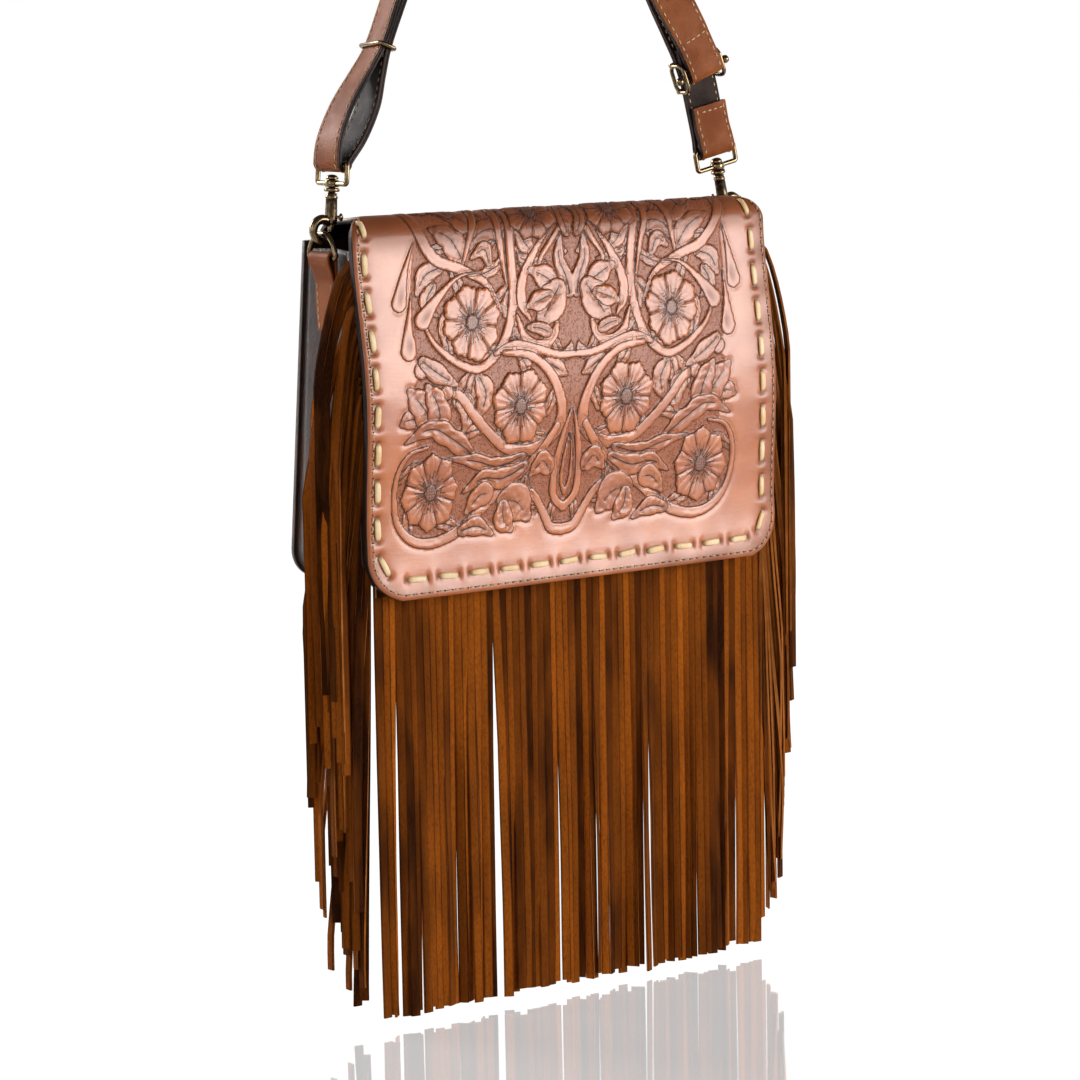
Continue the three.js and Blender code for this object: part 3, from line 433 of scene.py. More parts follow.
# The flap: one thick skin of vegetable-tanned leather, carved by hand with a symmetric floral pattern and
# rubbed with dark stain. It is sewn to the back, folds over the top and hangs down the front over a dark
# lining, with painted edges.
FLAP_HALF, YOKE_HALF, FLARE_START = 0.142, 0.128, 0.15
FLAP_DROP, FLAP_LEAN, FLAP_CORNER = 0.194, 0.009, 0.024
FLAP_FRONT, FLAP_RISE, FOLD_REACH = -0.027, 0.014, 0.016
FLAP_LEATHER, FLAP_LINING = 0.0032, 0.0015
YOKE_BACK, YOKE_OVERLAP, BRINK = 0.0305, 0.032, 0.0004
CARVED_CELL, PLAIN_CELL, MM = 0.0009, 0.002, 0.001
SWELL, SWELL_RUN, BOW, BOW_RUN, RIPPLE, SINK = 3.1, 168, 2.4, 60, 0.5, 2.6

quarter = np.linspace(0, math.pi / 2, 25)
fold_line = [(FLAP_FRONT + FOLD_REACH * (1 - math.sin(a)), FLAP_RISE * math.cos(a)) for a in quarter[::-1]]
turn_line = [(YOKE_BACK - FOLD_REACH * (1 - math.sin(a)), FLAP_RISE * math.cos(a)) for a in quarter]
flap_line = np.array(
    [(FLAP_FRONT - FLAP_LEAN, -FLAP_DROP)] + fold_line + turn_line
    + [(YOKE_BACK + BACK_LEAN * YOKE_OVERLAP / BODY_DROP, -YOKE_OVERLAP)]
)
flap_run = np.concatenate([[0], np.cumsum(np.linalg.norm(np.diff(flap_line, axis=0), axis=1))])
drop_length = flap_run[1]
flap_run = drop_length - flap_run
fold_length = -flap_run[len(fold_line)]
flap_end = flap_run[-1]


def flap_face(down):
    """Points on the flap's outer face and their outward ways, at distances down from the end of the fold."""
    down = np.asarray(down, float)
    order = flap_run[::-1]

    def at(d):
        return np.stack([np.interp(d, order, flap_line[::-1, k]) for k in (0, 1)], -1)
    step = 0.0008
    along = at(np.minimum(down + step, drop_length)) - at(np.maximum(down - step, flap_end))
    along /= np.linalg.norm(along, axis=-1, keepdims=True)
    return at(down), np.stack([along[..., 1], -along[..., 0]], -1)


def flap_half(down):
    """Half the flap's width: narrow on top, flaring over the fold, with round corners at the bottom."""
    down = np.asarray(down, float)
    turned = np.clip((1 + down / fold_length - FLARE_START) / (1 - FLARE_START), 0, 1)
    half = YOKE_HALF + (FLAP_HALF - YOKE_HALF) * np.sqrt(1 - (1 - turned) ** 2)
    above = np.clip(drop_length - down, 0, FLAP_CORNER)
    return half - FLAP_CORNER + np.sqrt(FLAP_CORNER ** 2 - (FLAP_CORNER - above) ** 2)


def flap_wave(x, down):
    """How far the soft flap leaves its plain shape, in millimetres: it swells below the fold, bows across,
    and sinks behind the fold."""
    hung = np.clip(down / MM, 0, None)
    swell = SWELL * (1 - np.cos(2 * np.pi * hung / SWELL_RUN))
    eased = np.clip(hung / BOW_RUN, 0, 1)
    bow = BOW * (1 - (x / FLAP_HALF) ** 2) * eased ** 2 * (3 - 2 * eased)
    ripple = RIPPLE * np.sin(x * 34 + 1.0) * np.sin(down * 27 + 0.4) * np.clip(down / 0.05, 0, 1)
    behind = -(down + fold_length) / 0.024
    return swell + bow + ripple - SINK * np.clip(np.minimum(behind, 2.2 - behind), 0, 1)


def edge_distance(x, down):
    """Distance in from the flap's edge."""
    across = flap_half(np.minimum(down, drop_length - FLAP_CORNER)) - np.abs(x)
    below = drop_length - down
    corner = FLAP_CORNER - np.hypot(np.maximum(FLAP_CORNER - across, 0), np.maximum(FLAP_CORNER - below, 0))
    return np.minimum(np.minimum(across, below), corner)


def smooth_curve(points, steps):
    """A smooth line through points, with so many steps from each point to the next."""
    points = np.asarray(points, float)
    ends = np.vstack([2 * points[0] - points[1], points, 2 * points[-1] - points[-2]])
    line = []
    for a, b, c, d in zip(ends, ends[1:], ends[2:], ends[3:]):
        spans = [np.linalg.norm(y - x) ** 0.5 for x, y in ((a, b), (b, c), (c, d))]
        spans[1] = spans[1] if spans[1] > 1e-4 else 1.0
        k1, k2, k3 = np.cumsum([span if span > 1e-4 else spans[1] for span in spans])
        t = np.linspace(k1, k2, steps, endpoint=False)[:, None]
        ab, bc = a + (b - a) * t / k1, b + (c - b) * (t - k1) / (k2 - k1)
        cd = c + (d - c) * (t - k2) / (k3 - k2)
        abc, bcd = ab + (bc - ab) * t / k2, bc + (cd - bc) * (t - k1) / (k3 - k1)
        line.append(abc + (bcd - abc) * (t - k1) / (k2 - k1))
    return np.vstack(line + [points[-1:]])


columns = round(2 * FLAP_HALF / CARVED_CELL)
carved_top = -(fold_length + 0.006)
carved_rows = round((drop_length - carved_top) / CARVED_CELL)
plain_rows = round((carved_top - flap_end) / PLAIN_CELL)
rows_down = np.concatenate([
    np.linspace(drop_length, carved_top, carved_rows + 1),
    np.linspace(carved_top, flap_end, plain_rows + 1)[1:],
])
bm, places = grid(columns, carved_rows + plain_rows)
places = np.array(places)
down = rows_down[np.rint(places[:, 1] * (carved_rows + plain_rows)).astype(int)]
side = 2 * places[:, 0] - 1
flap_x = side * flap_half(np.minimum(down, drop_length - BRINK))

# The carving is drawn in millimetres: p out from the pattern's centre line, which leans a little to the
# left on its way down, and q up from the end of the fold. One half is drawn, and the other mirrors it; the
# left half is a little narrower at the bottom.
LEAN_START, LEAN, LEFT_NARROWER, STEPS = -1.6, 0.11, 0.055, 7
q = -down / MM
p = flap_x / MM - LEAN_START + (-q - 48) * LEAN
p = np.where(p < 0, -p / (1 - LEFT_NARROWER * np.clip((-q - 50) / 90, 0, 1)), p)
relief, stain_and_hole_shade, matted, seeded = (np.zeros(len(q)) for _ in range(4))
cut = np.full(len(q), 9.0)


def band_distance(points, widths):
    """Distance to the outline of a band that follows points with given half widths, the share along it,
    and the signed distance to its middle line."""
    line = smooth_curve(points, STEPS)
    size = np.interp(np.linspace(0, 1, len(line)), np.linspace(0, 1, len(widths)), widths)
    margin = max(widths) + 8
    near = np.flatnonzero((p > line[:, 0].min() - margin) & (p < line[:, 0].max() + margin)
                          & (q > line[:, 1].min() - margin) & (q < line[:, 1].max() + margin))
    best = np.full(len(near), 1e9)
    share, middle = np.zeros(len(near)), np.full(len(near), 1e9)
    for k in range(len(line) - 1):
        start, way = line[k], line[k + 1] - line[k]
        length = np.linalg.norm(way)
        off_p, off_q = p[near] - start[0], q[near] - start[1]
        t = np.clip((off_p * way[0] + off_q * way[1]) / length ** 2, 0, 1)
        apart = np.hypot(off_p - t * way[0], off_q - t * way[1])
        outline = apart - (size[k] + t * (size[k + 1] - size[k]))
        closer = outline < best
        best = np.where(closer, outline, best)
        share = np.where(closer, (k + t) / (len(line) - 1), share)
        sideways = np.sign(way[0] * off_q - way[1] * off_p)
        middle = np.where(closer, sideways * apart, middle)
    return near, best, share, middle


def lay(near, outline, height, tone, dip=0.75):
    """Lays a carved shape over what is there: its outline is cut, and the leather beside it pressed down."""
    inside = outline < 0
    beside = np.clip(outline, 0, 8)
    pressed = -dip * np.exp(-beside / 1.3)
    relief[near] = np.where(inside, height, np.minimum(relief[near], relief[near] * 0.4 + pressed))
    stain_and_hole_shade[near] = np.where(inside, tone, np.maximum(stain_and_hole_shade[near], 0.55 * np.exp(-beside / 0.9)))
    matted[near] = np.where(inside, 0, matted[near])
    closer = inside | (np.abs(outline) < np.abs(cut[near]))
    cut[near] = np.where(closer, outline, cut[near])


def score(near, inside, signed):
    """Cuts an inner line where inside is true, from its signed distance."""
    closer = inside & (np.abs(signed) < np.abs(cut[near]))
    cut[near] = np.where(closer, signed, cut[near])


def rounded(outline, crown):
    """The height of a shape with eased edges."""
    return crown * (1 - np.exp(np.minimum(outline, 0) / 1.6))


def stem(points, *widths):
    """A stem with a groove cut along one side."""
    near, outline, share, middle = band_distance(points, widths)
    groove = -0.3 * np.exp(-((middle - 0.35 * max(widths)) / 0.6) ** 2)
    lay(near, outline, rounded(outline, 0.3) + groove, 0.08 + 0.3 * np.exp(-np.abs(middle) / 0.9) * share)


FIELD = [
    (0, 60), (104, 60), (106, 14), (106, 0), (108, -20), (108, -60), (104, -72), (111, -82), (111, -100),
    (106, -110), (120, -128), (121, -146), (112, -159), (95, -162), (60, -157), (46, -160), (28, -158),
    (14, -154), (6, -161), (0, -161),
]


def inside_field(p, q):
    """True in the carved ground, whose outline is the polygon above."""
    inside = np.zeros(np.shape(q), bool)
    for (x0, y0), (x1, y1) in zip(FIELD, FIELD[1:]):
        if y0 == y1:
            continue
        crossing = ((y0 > q) != (y1 > q)) & (p < x0 + (q - y0) * (x1 - x0) / (y1 - y0))
        inside ^= crossing
    return inside


def sprays(points, reach, step):
    """Scrolled leaves along both sides of a stem, to be laid before it."""
    line = smooth_curve(points, 12)
    run = np.concatenate([[0], np.cumsum(np.linalg.norm(np.diff(line, axis=0), axis=1))])
    side = 1
    for d in np.arange(0.5 * step, run[-1] - 3, step):
        at, on = (np.array([np.interp(d + ahead, run, line[:, k]) for k in (0, 1)]) for ahead in (0, 2))
        on -= at
        on /= np.linalg.norm(on) + 1e-9
        out = np.array([-on[1], on[0]]) * side
        long = reach * rng.uniform(0.75, 1.2)
        scroll = ((0.0, 0.0), (0.45, 0.45), (0.75, 0.95), (0.62, 1.25))
        bend = [at + long * (a * on + b * out) for a, b in scroll]
        if all(inside_field(*spot) and spot[0] > 0.5 for spot in bend[1:]):
            leaf(bend, long * rng.uniform(0.2, 0.27), int(rng.integers(2, 5)))
        side = -side


def leaf(points, width, lobes):
    """A leaf with a scalloped edge, a cut middle vein and shaded side veins."""
    t = np.linspace(0, 1, 25)
    widths = width * np.sin(np.pi * t ** 0.75) ** 0.8 * (1 + 0.14 * np.cos(2 * np.pi * lobes * t)) + 0.35
    near, outline, share, middle = band_distance(points, widths)
    rib = np.sin(share * 40 + np.abs(middle) * 1.1)
    hollow = 0.55 * np.exp(-(np.abs(middle) / (0.45 * width)) ** 2)
    shade = 0.1 + 0.7 * np.exp(-np.abs(middle) / (0.4 * width)) * (1 - 0.5 * share) + 0.12 * (rib < -0.4)
    lay(near, outline, rounded(outline, 0.45) - hollow + 0.16 * rib, shade)
    score(near, (outline < -0.5) & (share > 0.05) & (share < 0.78), middle)


def drop(points, width):
    """A slender drop that swells to a round end."""
    t = np.linspace(0, 1, 15)
    near, outline, share, middle = band_distance(points, 0.5 + width * t ** 1.5)
    bowl = 0.5 * np.exp(-(((share - 0.9) / 0.2) ** 2 + (middle / (0.6 * width)) ** 2))
    lay(near, outline, rounded(outline, 0.3) - bowl, 0.1 + bowl)


def berry(x, y, radius):
    near, outline, _, _ = band_distance([(x, y), (x + 0.01, y)], [radius, radius])
    lay(near, outline, rounded(outline, 0.5), 0.15 + 0.3 * np.exp(outline / 1.5))


PETALS, SEED = 8, 3.9


def flower(x, y, radius, turn):
    """An open flower: ruffled petals, deeply fluted towards a round centre that is cross-hatched."""
    near = np.flatnonzero(np.hypot(p - x, q - y) < radius + 8)
    off_p, off_q = p[near] - x, (q[near] - y) * 0.9
    r, angle = np.hypot(off_p, off_q), np.arctan2(off_q, off_p) + turn
    angle += 0.07 * np.sin(2 * angle + x)
    wave = np.abs(np.cos(PETALS * angle / 2))
    lobes = 0.022 * np.cos(PETALS * 2 * angle) + 0.016 * np.sin(PETALS * 4 * angle + y)
    rim = radius * (0.80 + 0.15 * wave ** 0.6 + lobes + 0.03 * np.sin(3 * angle + x))
    outline = (r - rim) * 0.9
    flute, fade = np.cos(PETALS * 3 * angle), np.clip(r / radius, 0, 1)
    cup = 0.7 * np.exp(-((r - 0.42 * radius) / (0.2 * radius)) ** 2)
    parting = 0.55 * np.exp(-((wave * r * 2 / PETALS) / 0.7) ** 2)
    height = rounded(outline, 0.75) - cup - parting + 0.26 * flute * np.exp(-((fade - 0.6) / 0.3) ** 2)
    folds = 0.35 * np.clip(-flute, 0, 1) * np.exp(-((fade - 0.5) / 0.28) ** 2)
    shade = 0.08 + 0.85 * np.exp(-fade / 0.28) + folds + 0.4 * np.exp(-wave * r / 2.2)
    lay(near, outline, height, np.clip(shade, 0, 1), dip=1.0)
    between = (angle * PETALS / (2 * np.pi)) % 1 - 0.5
    score(near, (r > 0.5 * radius) & (outline < 0.4), r * np.sin(between * 2 * np.pi / PETALS))
    for k, far in ((0.5, 0.40), (0.3, 0.55), (0.7, 0.5)):
        ray = (angle * PETALS / (2 * np.pi) + k) % 1 - 0.5
        score(near, (r > SEED) & (r < far * radius), r * np.sin(ray * 2 * np.pi / PETALS) * 1.25)
    centre = r - SEED
    lay(near, centre, 0.35 + 0 * r, 0.5 + 0 * r, dip=0.3)
    seeded[near] = np.where(centre < 0, 1, seeded[near])


ground = inside_field(p, q)
relief[ground], matted[ground], stain_and_hole_shade[ground] = -0.85, 1, 0.5

# Each stem has the reach and spacing of its scrolled leaves, its half widths and its points. Each leaf has
# its half width, its number of lobes and its points.
STEMS = [
    (16, 19, (2.4, 3.0, 3.0, 2.8, 2.4, 1.2), [
        (43, 60), (44, 30), (43, 4), (41, -18), (41, -36), (45, -51), (53, -64), (66, -71.5), (80, -67),
        (94, -56), (101, -43)]),
    (12, 23, (2.4, 2.4, 2.2, 0.9), [(51, 60), (51, 26), (51, 6), (48, -10), (45, -26)]),
    (12, 21, (2.4, 2.6, 1.1), [(64, 50), (64, 22), (69, 2), (74, -16)]),
    (15, 19, (2.6, 3.4, 3.4, 2.6, 1.0), [(108, 60), (108, 26), (104, 6), (93, -10), (75, -17), (58, -26),
                                         (49, -41)]),
    (11, 17, (2.4, 2.2, 1.8, 1.2), [(2, 60), (2, 30), (6, 8), (13, -3), (21, -13), (24, -24)]),
    (0, 0, (1.0, 2.4, 3.2, 3.4, 1.2), [(15, 4), (27, -12), (34.5, -26), (35, -38), (30, -47)]),
    (0, 0, (1.0, 3.0, 3.6, 2.8, 0.8), [(39, -44), (33, -57.5), (23, -62), (14, -55), (11, -46)]),
    (9, 16, (1.8, 2.3, 2.8, 1.6), [(0, -67.5), (10, -67.5), (26, -63.5), (42, -60), (54, -64)]),
    (15, 17, (1.8, 3.0, 3.8, 3.2, 3.0, 2.6), [
        (48, -64), (31, -66.5), (18, -76), (9.5, -90), (7.5, -102), (14, -113.5), (30, -119), (46, -116),
        (59, -106), (70, -95), (79, -85), (88, -83)]),
    (16, 18, (2.4, 3.0, 3.2, 3.0, 2.2, 1.7, 1.0), [
        (10, -107), (21, -121), (35, -132), (53, -144), (67, -155), (79, -161.5), (94, -164.5), (107, -161.5),
        (116.5, -152), (120, -138), (118, -124), (111, -115), (99, -112)]),
    (0, 0, (0.6, 2.2, 2.6, 2.4), [(0.8, -98), (5, -112), (8.6, -132), (7.4, -146), (0, -153)]),
    (0, 0, (0.5, 1.1, 1.3, 1.3), [(0.6, -112), (2.8, -126), (2.8, -138), (0, -145)]),
    (11, 15, (3.2, 3.0, 2.6, 2.4, 1.0), [(1, -165), (8, -163.5), (14, -155), (22, -144.5), (33, -139.5),
                                         (43, -141)]),
]
UNDER_LEAVES = [
    (4.0, 2, (36, -50), (45, -40), (40, -24)), (5.6, 2, (48, -2), (55, 4), (65, 1), (72, -9)),
    (6.6, 3, (74, -12), (83, 0), (97, 7)), (6.6, 3, (68, 4), (76, 13), (89, 24)),
    (6.0, 3, (80, 14), (88, 30), (100, 38)), (4.6, 2, (38, 4), (32, -5), (26, -11)),
    (6.0, 2, (40, 14), (36, 27), (28, 36)), (4.6, 2, (12, 6), (14, 17), (11, 31)),
    (5.2, 2, (88, -15), (99, -19), (105, -30)), (4.4, 2, (93, -24), (98, -33), (91, -42)),
    (5.6, 3, (66, -75), (61, -86), (66, -99)), (5.4, 3, (80, -85), (73, -93), (75, -106)),
    (4.2, 2, (21, -70), (12, -75), (5, -79)),
]
UPPER_LEAVES = [
    (4.8, 1, (2, -36), (4.5, -25), (9, -14), (7.5, -1)), (4.0, 1, (3, -2), (6, 9), (4, 24)),
    (6.0, 2, (11, -29), (19, -24), (30, -19)), (9.0, 2, (9, -29), (16, -39), (25, -52)),
    (5.0, 2, (15, -34), (24, -37), (32, -40)), (4.0, 1, (17, -55), (24, -52), (33, -51)),
    (4.2, 2, (56, -15), (60, -7), (69, -12)),
]
LOWER_LEAVES = [
    (5.2, 2, (104, -64), (93, -72), (79, -80)), (5.4, 3, (94, -105), (103, -97), (112, -96), (118, -99)),
    (8.0, 3, (93, -104), (102, -91), (113, -79)), (7.0, 3, (91, -104), (93, -90), (101, -77)),
    (5.8, 4, (66, -120), (82, -109), (97, -102), (115, -109)),
    (4.6, 3, (30, -121), (50, -126), (66, -122), (86, -119)),
    (5.2, 3, (28, -126), (46, -133), (60, -132), (74, -139)),
    (5.8, 3, (54, -141), (61, -141), (71, -151)), (4.8, 2, (74, -160), (62, -158), (49, -164)),
    (5.4, 4, (12, -132), (18, -126), (27, -134)), (9.5, 2, (45, -146), (35, -147), (24, -158)),
    (6.0, 2, (44, -147), (43, -156), (36, -163)),
]


def lay_leaves(rows):
    for width, lobes, *points in rows:
        leaf(points, width, lobes)


for reach, step, _, points in STEMS:
    if reach:
        sprays(points, reach, step)
lay_leaves(UNDER_LEAVES)
for _, _, widths, points in STEMS:
    stem(points, *widths)
lay_leaves(UPPER_LEAVES)
drop([(64, -19), (77, -21), (88, -29), (96, -37), (101, -43)], 4.8)
drop([(107, -1), (112, -16), (116, -33)], 4.4)
drop([(108, -28), (110, -44), (111, -59)], 4.8)
berry(103.5, -70, 4.8)
berry(87, -83, 4.2)
lay_leaves(LOWER_LEAVES)
for place in ((69, -46, 20, 0.2), (37, -94, 20, 0.45), (96, -137, 20, 0.05), (27, 14, 17, 0.4)):
    flower(*place)

# The edge is eased and pulled in by the lace: the leather dips at each hole and swells beside each stitch.
LACE_INSET, LACE_CORNER, LACE_PITCH, LACE_SHOWN = 0.011, 0.016, 0.0205, 0.0135
LACE_TOP = -0.0195


def edge_run(inset, corner, top, pitch):
    """Places along a line inside the flap's edge, as x, distance down the flap and the way along both."""
    run = FLAP_HALF - inset, top, drop_length - inset, corner
    total = u_length(*run)
    count = round(total / pitch)
    spots = []
    for k in range(count):
        x, level, out, down = u_walk((k + 0.5) * total / count, *run)
        if down == 0:
            x = math.copysign(float(flap_half(min(level, 0.1))) - inset, x)
        way = (1.0, 0.0) if down == 1 else (-math.copysign(down, x), abs(out))
        spots.append((x, level, *way))
    return spots


LEFT_SHIFT = 0.005
stitches = [(x - LEFT_SHIFT * (x < -0.12) * way_d ** 4, level, way_x, way_d)
            for x, level, way_x, way_d in edge_run(LACE_INSET, LACE_CORNER, LACE_TOP, LACE_PITCH)]
hole = LACE_SHOWN / MM / 2
edge = edge_distance(flap_x, down) / MM
relief -= 0.9 * np.exp(-np.maximum(edge, 0) / 0.7)
for x, level, way_x, way_d in stitches:
    near = np.flatnonzero((np.abs(flap_x - x) < 0.018) & (np.abs(down - level) < 0.018))
    off_x, off_d = (flap_x[near] - x) / MM, (down[near] - level) / MM
    along, beside = off_x * way_x + off_d * way_d, off_x * way_d - off_d * way_x
    pull = np.exp(-((np.abs(along) - hole) / 1.6) ** 2 - (beside / 2.6) ** 2)
    trough = np.exp(-(along / hole) ** 4 - (beside / 3.2) ** 2)
    between = np.exp(-((np.abs(along) - LACE_PITCH / MM / 2) / 5) ** 2 - (beside / 8.5) ** 2)
    relief[near] += 0.17 * between - 0.9 * pull - 0.22 * trough
    # Painted shade: a dark ring is laid into the stain at each end of every stitch, for the shade inside the
    # lace hole.
    hole_shade = np.exp(-((np.abs(along) - hole - 0.4) / 0.8) ** 2 - (beside / 2.3) ** 4)
    stain_and_hole_shade[near] = np.maximum(stain_and_hole_shade[near], hole_shade)
# Burnish and painted shade: the edges are darkened as real burnish, and painted shade makes this stronger and
# wider on the right side, where less light falls. The fold, which faces up, gets painted shade, and the yoke
# behind it is darkened as well.
blotch = 0.5 + 0.25 * np.sin(down * 310 + 2.0 * np.sin(flap_x * 55)) + 0.25 * np.sin(flap_x * 190 + down * 47)
right_side_shade = np.clip(0.5 + flap_x / 0.20, 0.4, 1) * np.clip(1.15 - down / 0.5, 0, 1)
edge_burnish_and_shade = np.exp(-np.maximum(edge - 3, 0) / (6 + 12 * right_side_shade)) * (0.35 + 0.65 * right_side_shade)
fold_shade = np.exp(-((down + 0.016) / 0.021) ** 4)
on_yoke = 0.95 * np.clip((-down - 0.040) / 0.020, 0, 1)
burnish_and_shade = np.maximum(edge_burnish_and_shade * (0.45 + 0.55 * blotch), fold_shade * (0.85 + 0.15 * blotch))
burnish_and_shade = np.maximum(burnish_and_shade, on_yoke * (0.7 + 0.3 * blotch))
face, out = flap_face(down)
lifted = (relief + flap_wave(flap_x, down)) * MM
for vert, x, (y, z), (out_y, out_z), rise in zip(bm.verts, flap_x, face, out, lifted):
    vert.co = (x, y + out_y * rise, z + out_z * rise + BROW)
masks = {"cut": cut, "stain_and_hole_shade": stain_and_hole_shade, "matted": matted, "seeded": seeded, "burnish_and_shade": burnish_and_shade}
for name, values in masks.items():
    layer = bm.verts.layers.float.new(name)
    for vert, value in zip(bm.verts, values):
        vert[layer] = value
layer = bm.verts.layers.float_vector.new("drawn")
for vert, x, d in zip(bm.verts, flap_x, down):
    vert[layer] = (x, -d, 0)
skin_verts = len(bm.verts)

SNAP_LEVEL, SNAP_CLEAR = 0.150, 0.026
lining_bm, lining_places = grid(48, 96)
for vert, (across, along) in zip(lining_bm.verts, lining_places):
    level = drop_length + (flap_end - drop_length) * along
    half = float(flap_half(min(level, drop_length - BRINK)))
    (y, z), (out_y, out_z) = flap_face(level)
    tucked = np.clip((level + fold_length + 0.012) / 0.01, 0, 1)
    depth = FLAP_LEATHER + FLAP_LINING * tucked
    x = (2 * across - 1) * half
    from_snap = math.hypot(x, level - SNAP_LEVEL) / SNAP_CLEAR
    depth -= float(flap_wave(x, level)) * MM * (1 - math.exp(-from_snap ** 4))
    vert.co = (x, y - out_y * depth, z - out_z * depth + BROW)
spare = bpy.data.meshes.new("lining_draft")
lining_bm.to_mesh(spare)
lining_bm.free()
bm.from_mesh(spare)
bpy.data.meshes.remove(spare)
bm.verts.ensure_lookup_table()
for face_made in {f for v in bm.verts[skin_verts:] for f in v.link_faces}:
    face_made.material_index = 1
for face_made in bmesh.ops.bridge_loops(bm, edges=[e for e in bm.edges if e.is_boundary])["faces"]:
    face_made.material_index = 2

tooled, tree = new_material("tooled_leather")


def attribute(tree, name, kind="Fac"):
    return add(tree, "ShaderNodeAttribute", attribute_name=name)[kind]


where = attribute(tree, "drawn", "Vector")
cut_line = ramp(tree, maths(tree, "ABSOLUTE", attribute(tree, "cut")), 0.44, 0.1)
dark, ground_mask, seed_mask, burnish_shade_mask = (
    attribute(tree, name) for name in ("stain_and_hole_shade", "matted", "seeded", "burnish_and_shade"))
surface = add(tree, "ShaderNodeGroup", {"Size": 1300}, node_tree=grain)
cloud, streaks = noise(tree, where, 26.0, 5.0, 0.6), noise(tree, where, (120, 620, 1), 4.0)
stipple = add(tree, "ShaderNodeTexVoronoi", {"Vector": where, "Scale": 760.0})["Distance"]
waves = {"Vector": where, "Scale": 190.0}
mesh_x, mesh_y = (add(tree, "ShaderNodeTexWave", waves, bands_direction=axis)["Fac"] for axis in "XY")
hatch = times(tree, maths(tree, "MAXIMUM", mesh_x, mesh_y), seed_mask)
pits = times(tree, ramp(tree, stipple, 0.5, 0.15), ground_mask)
tan = colour_mix(tree, ramp(tree, cloud, 0.35, 0.68), (0.55, 0.150, 0.032), (0.43, 0.100, 0.016))
# Painted shade: the mask of burnish and shade darkens the fold and the right side along with the real edge
# burnish, and the stain mask also holds painted shade round the lace holes.
for mask, strength, colour in (
    (ramp(tree, streaks, 0.45, 0.75), 0.25, (0.38, 0.105, 0.028)), (burnish_shade_mask, 0.92, (0.15, 0.033, 0.004)),
    (ground_mask, 0.5, (0.42, 0.105, 0.026)), (ramp(tree, dark, 0.05, 1.0), 0.92, (0.115, 0.027, 0.008)),
    (pits, 0.6, (0.16, 0.034, 0.010)), (hatch, 0.7, (0.05, 0.022, 0.014)),
    (cut_line, 0.92, (0.030, 0.009, 0.005)),
):
    tan = colour_mix(tree, times(tree, mask, strength), tan, colour)
bumps = maths(tree, "ADD", times(tree, surface["Height"], 0.12), times(tree, streaks, 0.3))
for mask, depth in ((pits, 0.8), (cut_line, 1.2), (hatch, 0.7)):
    bumps = maths(tree, "SUBTRACT", bumps, times(tree, mask, depth))
rough = maths(tree, "ADD", ramp(tree, dark, 0.0, 1.0, 0.35, 0.5), times(tree, ground_mask, 0.06))
rough = maths(tree, "ADD", rough, times(tree, maths(tree, "MAXIMUM", cut_line, burnish_shade_mask), 0.25))
on_top = ramp(tree, maths(tree, "MAXIMUM", ground_mask, cut_line), 0.0, 1.0, 0.7, 0.3)
waxed = times(tree, on_top, ramp(tree, maths(tree, "MAXIMUM", dark, burnish_shade_mask), 0.2, 1.0, 1.0, 0.2))
end_material(tree, tan, rough, bumped(tree, bumps, 0.7, 0.0005),
             {"Coat Weight": waxed, "Coat Roughness": 0.26, "Specular IOR Level": 0.4})

flap = finish_piece("flap_leather", bm, tooled, dark_leather, edge_paint)
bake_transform(flap)
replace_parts(flap, "flap_top", "flap_front", "flap_top_lining", "flap_front_lining")

# The edge stitches: the flap's edge is sewn to its lining by machine, with fine waxed thread in punched
# holes, and two rows of the same thread hold its back edge to the bag's back.
EDGE_STITCH, EDGE_INSET, YOKE_ROWS = 0.005, 0.0030, (0.0035, 0.0085)


def flap_spot(x, level, rise):
    """A point on the flap's outer face, lifted off it, and the way out there."""
    (y, z), (out_y, out_z) = flap_face(level)
    rise += float(flap_wave(x, level)) * MM
    return Vector((x, y + out_y * rise, z + out_z * rise + BROW)), Vector((0, out_y, out_z))


def flap_way(x, level, way_x, way_d):
    """The way along the flap's face, from a way across and down it."""
    step = 0.0005
    ahead = flap_spot(x + way_x * step, level + way_d * step, 0)[0]
    return (ahead - flap_spot(x - way_x * step, level - way_d * step, 0)[0]).normalized()


spots = edge_run(EDGE_INSET, FLAP_CORNER - EDGE_INSET, -fold_length + 0.004, EDGE_STITCH)
for inset in YOKE_ROWS:
    spots += [(x, flap_end + inset, 1.0, 0.0) for x in np.arange(0.0025 - YOKE_HALF, YOKE_HALF, EDGE_STITCH)]
edge_places = []
for x, level, way_x, way_d in spots:
    middle, out_way = flap_spot(x, level, 0.0003)
    edge_places.append((middle, flap_way(x, level, way_x, way_d), out_way))
edge_seam = stitch_run("flap_edge_stitches", edge_places, 0.0030, 0.00055, pale_thread, EDGE_STITCH / 2)
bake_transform(edge_seam)

# The lace: a flat strip of pale rawhide, woven by hand in and out of slots round the flap, so that only the
# upper half of each stitch shows. Each is pulled tight, and dips into the leather at its ends.
LACE_WIDE, LACE_THICK, LACE_LIFT, LACE_DIP = 0.0035, 0.0016, 0.0007, 0.0019

rawhide, tree = new_material("rawhide")
where = add(tree, "ShaderNodeTexCoord")["Object"]
fibre, patch = noise(tree, where, 900.0, 4.0), noise(tree, where, 120.0, 3.0)
hide = colour_mix(tree, ramp(tree, patch, 0.3, 0.7), (0.72, 0.47, 0.21), (0.82, 0.62, 0.36))
hide = colour_mix(tree, ramp(tree, fibre, 0.52, 0.75, 0.0, 0.5), hide, (0.50, 0.28, 0.10))
# Painted shade: the lace darkens towards its ends, where it dips into the holes and shade falls.
ends = ramp(tree, attribute(tree, "tucked"), 0.62, 1.0, 0.0, 0.85)
hide = colour_mix(tree, ends, hide, (0.16, 0.07, 0.02))
end_material(tree, hide, 0.48, bumped(tree, fibre, 0.35, 0.0004))

